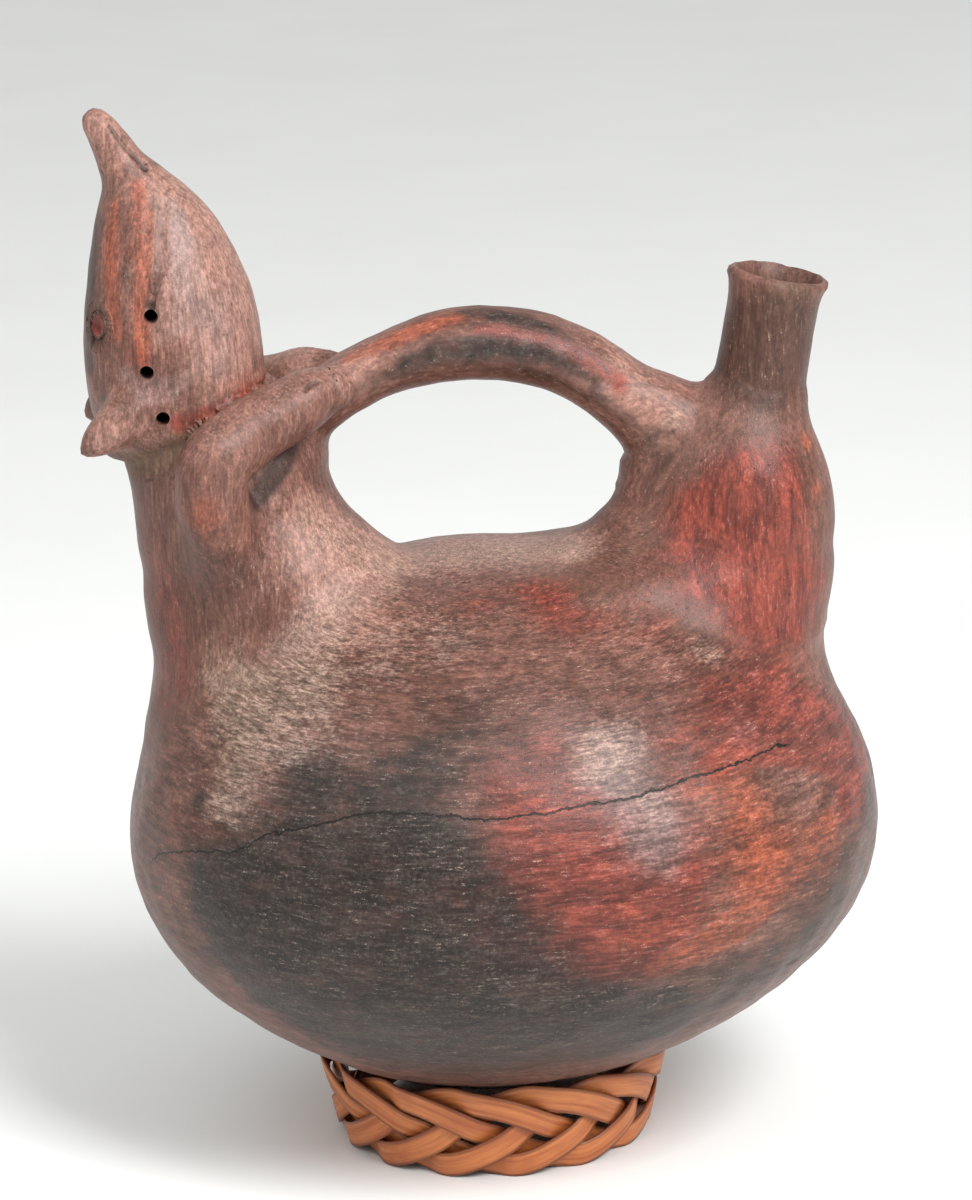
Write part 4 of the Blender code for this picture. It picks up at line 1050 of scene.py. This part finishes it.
def makeCane():
    # fibres along the strip, blotches, and darker edges
    made, tree, shader = newMaterial("splitCane")
    fibre = attribute(tree, "fibre", "Vector")
    squeezed = vectorMaths(tree, "MULTIPLY", fibre, (0.06, 1, 1))
    grain = noise(tree, squeezed, 2.4, 6, 0.65)
    wide = noise(tree, squeezed, 0.5, 4, 0.6)
    blotch = noise(tree, millimetres(tree), 0.09, 5, 0.6)
    edge = maths(tree, "ABSOLUTE", addNode(tree, "SeparateXYZ", {0: fibre}).outputs[1])
    colour = mixColour(tree, steps(tree, wide, 0.35, 0.68), strip["light"], strip["deep"])
    colour = mixColour(tree, steps(tree, grain, 0.55, 0.78, 0, 0.4), colour, strip["dark"])
    colour = mixColour(tree, steps(tree, blotch, 0.5, 0.75, 0, 0.6), colour, strip["deep"])
    colour = mixColour(tree, steps(tree, edge, 2.3, 3.0, 0, 0.6), colour, strip["dark"])
    tree.links.new(colour, shader.inputs["Base Color"])
    tree.links.new(steps(tree, grain, 0.3, 0.7, 0.34, 0.52), shader.inputs["Roughness"])
    bumped(tree, shader, grain, 0.35, 0.0004)
    return made


def makePaleFloor():
    made, tree, shader = newMaterial("paleFloor")
    place = addNode(tree, "TexCoord").outputs["Object"]
    colour = mixColour(tree, noise(tree, place, 9.0), paint(0.93, 0.935, 0.93), paint(0.90, 0.905, 0.90))
    tree.links.new(colour, shader.inputs["Base Color"])
    shader.inputs["Roughness"].default_value = 0.7
    return made


def dress(obj, material, node):
    obj.data.materials.clear()
    obj.data.materials.append(material)
    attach(obj, "root")
    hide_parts(node)


dress(vesselPiece, makeClay(), "whistling_vessel")
dress(ringPiece, makeCane(), "braided_cane_ring")
print("materials laid")


# floor, lights and camera

studio = {
    "floor": 3.0,
    "world": 0.72,
    # toward the light from the vessel, distance, width, height, power
    "lights": [((0.42, -0.60, 0.68), 1.5, 0.5, 0.7, 28), ((-0.45, -0.5, 0.75), 1.8, 1.2, 1.2, 9)],
    "target": (0.77, 0, 138.8),
    "azimuth": -2.4,
    "elevation": 15.5,
    "roll": 2.0,
    "distance": 1160,
    "lens": 139.2,
}


def makeFloor():
    square = [(-1, -1, 0), (1, -1, 0), (1, 1, 0), (-1, 1, 0)]
    floor = meshObject("floor", square, [(0, 1, 2, 3)], studio["floor"])
    floor.data.materials.append(makePaleFloor())


def makeLights():
    middle = Vector((0, 0, 0.13))
    for i, (toward, distance, width, height, power) in enumerate(studio["lights"]):
        data = bpy.data.lights.new(f"soft{i}", "AREA")
        data.shape, data.size, data.size_y, data.energy = "RECTANGLE", width, height, power
        made = bpy.data.objects.new(f"soft{i}", data)
        bpy.context.scene.collection.objects.link(made)
        away = Vector(toward).normalized()
        made.location = middle + away * distance
        made.rotation_euler = (-away).to_track_quat("-Z", "Y").to_euler()
    world = bpy.data.worlds.new("paleRoom")
    bpy.context.scene.world = world
    world.use_nodes = True
    world.node_tree.nodes["Background"].inputs[0].default_value = paint(0.985, 0.985, 0.98)
    world.node_tree.nodes["Background"].inputs[1].default_value = studio["world"]


def makeCamera():
    # right and up are turned about the line of sight by the roll
    a, e, r = (math.radians(studio[k]) for k in ("azimuth", "elevation", "roll"))
    back = Vector((math.sin(a) * math.cos(e), -math.cos(a) * math.cos(e), math.sin(e)))
    right = Vector((0, 0, 1)).cross(back).normalized()
    up = back.cross(right)
    right, up = right * math.cos(r) - up * math.sin(r), right * math.sin(r) + up * math.cos(r)
    data = bpy.data.cameras.new("camera")
    data.lens, data.sensor_width = studio["lens"], 36
    data.clip_start, data.clip_end = 0.05, 20
    made = bpy.data.objects.new("camera", data)
    bpy.context.scene.collection.objects.link(made)
    place = (Vector(studio["target"]) + back * studio["distance"]) * 0.001
    made.matrix_world = Matrix.Translation(place) @ Matrix((right, up, back)).transposed().to_4x4()
    bpy.context.scene.camera = made


makeFloor()
makeLights()
makeCamera()
bpy.context.scene.view_settings.view_transform = "Standard"
print("studio ready")
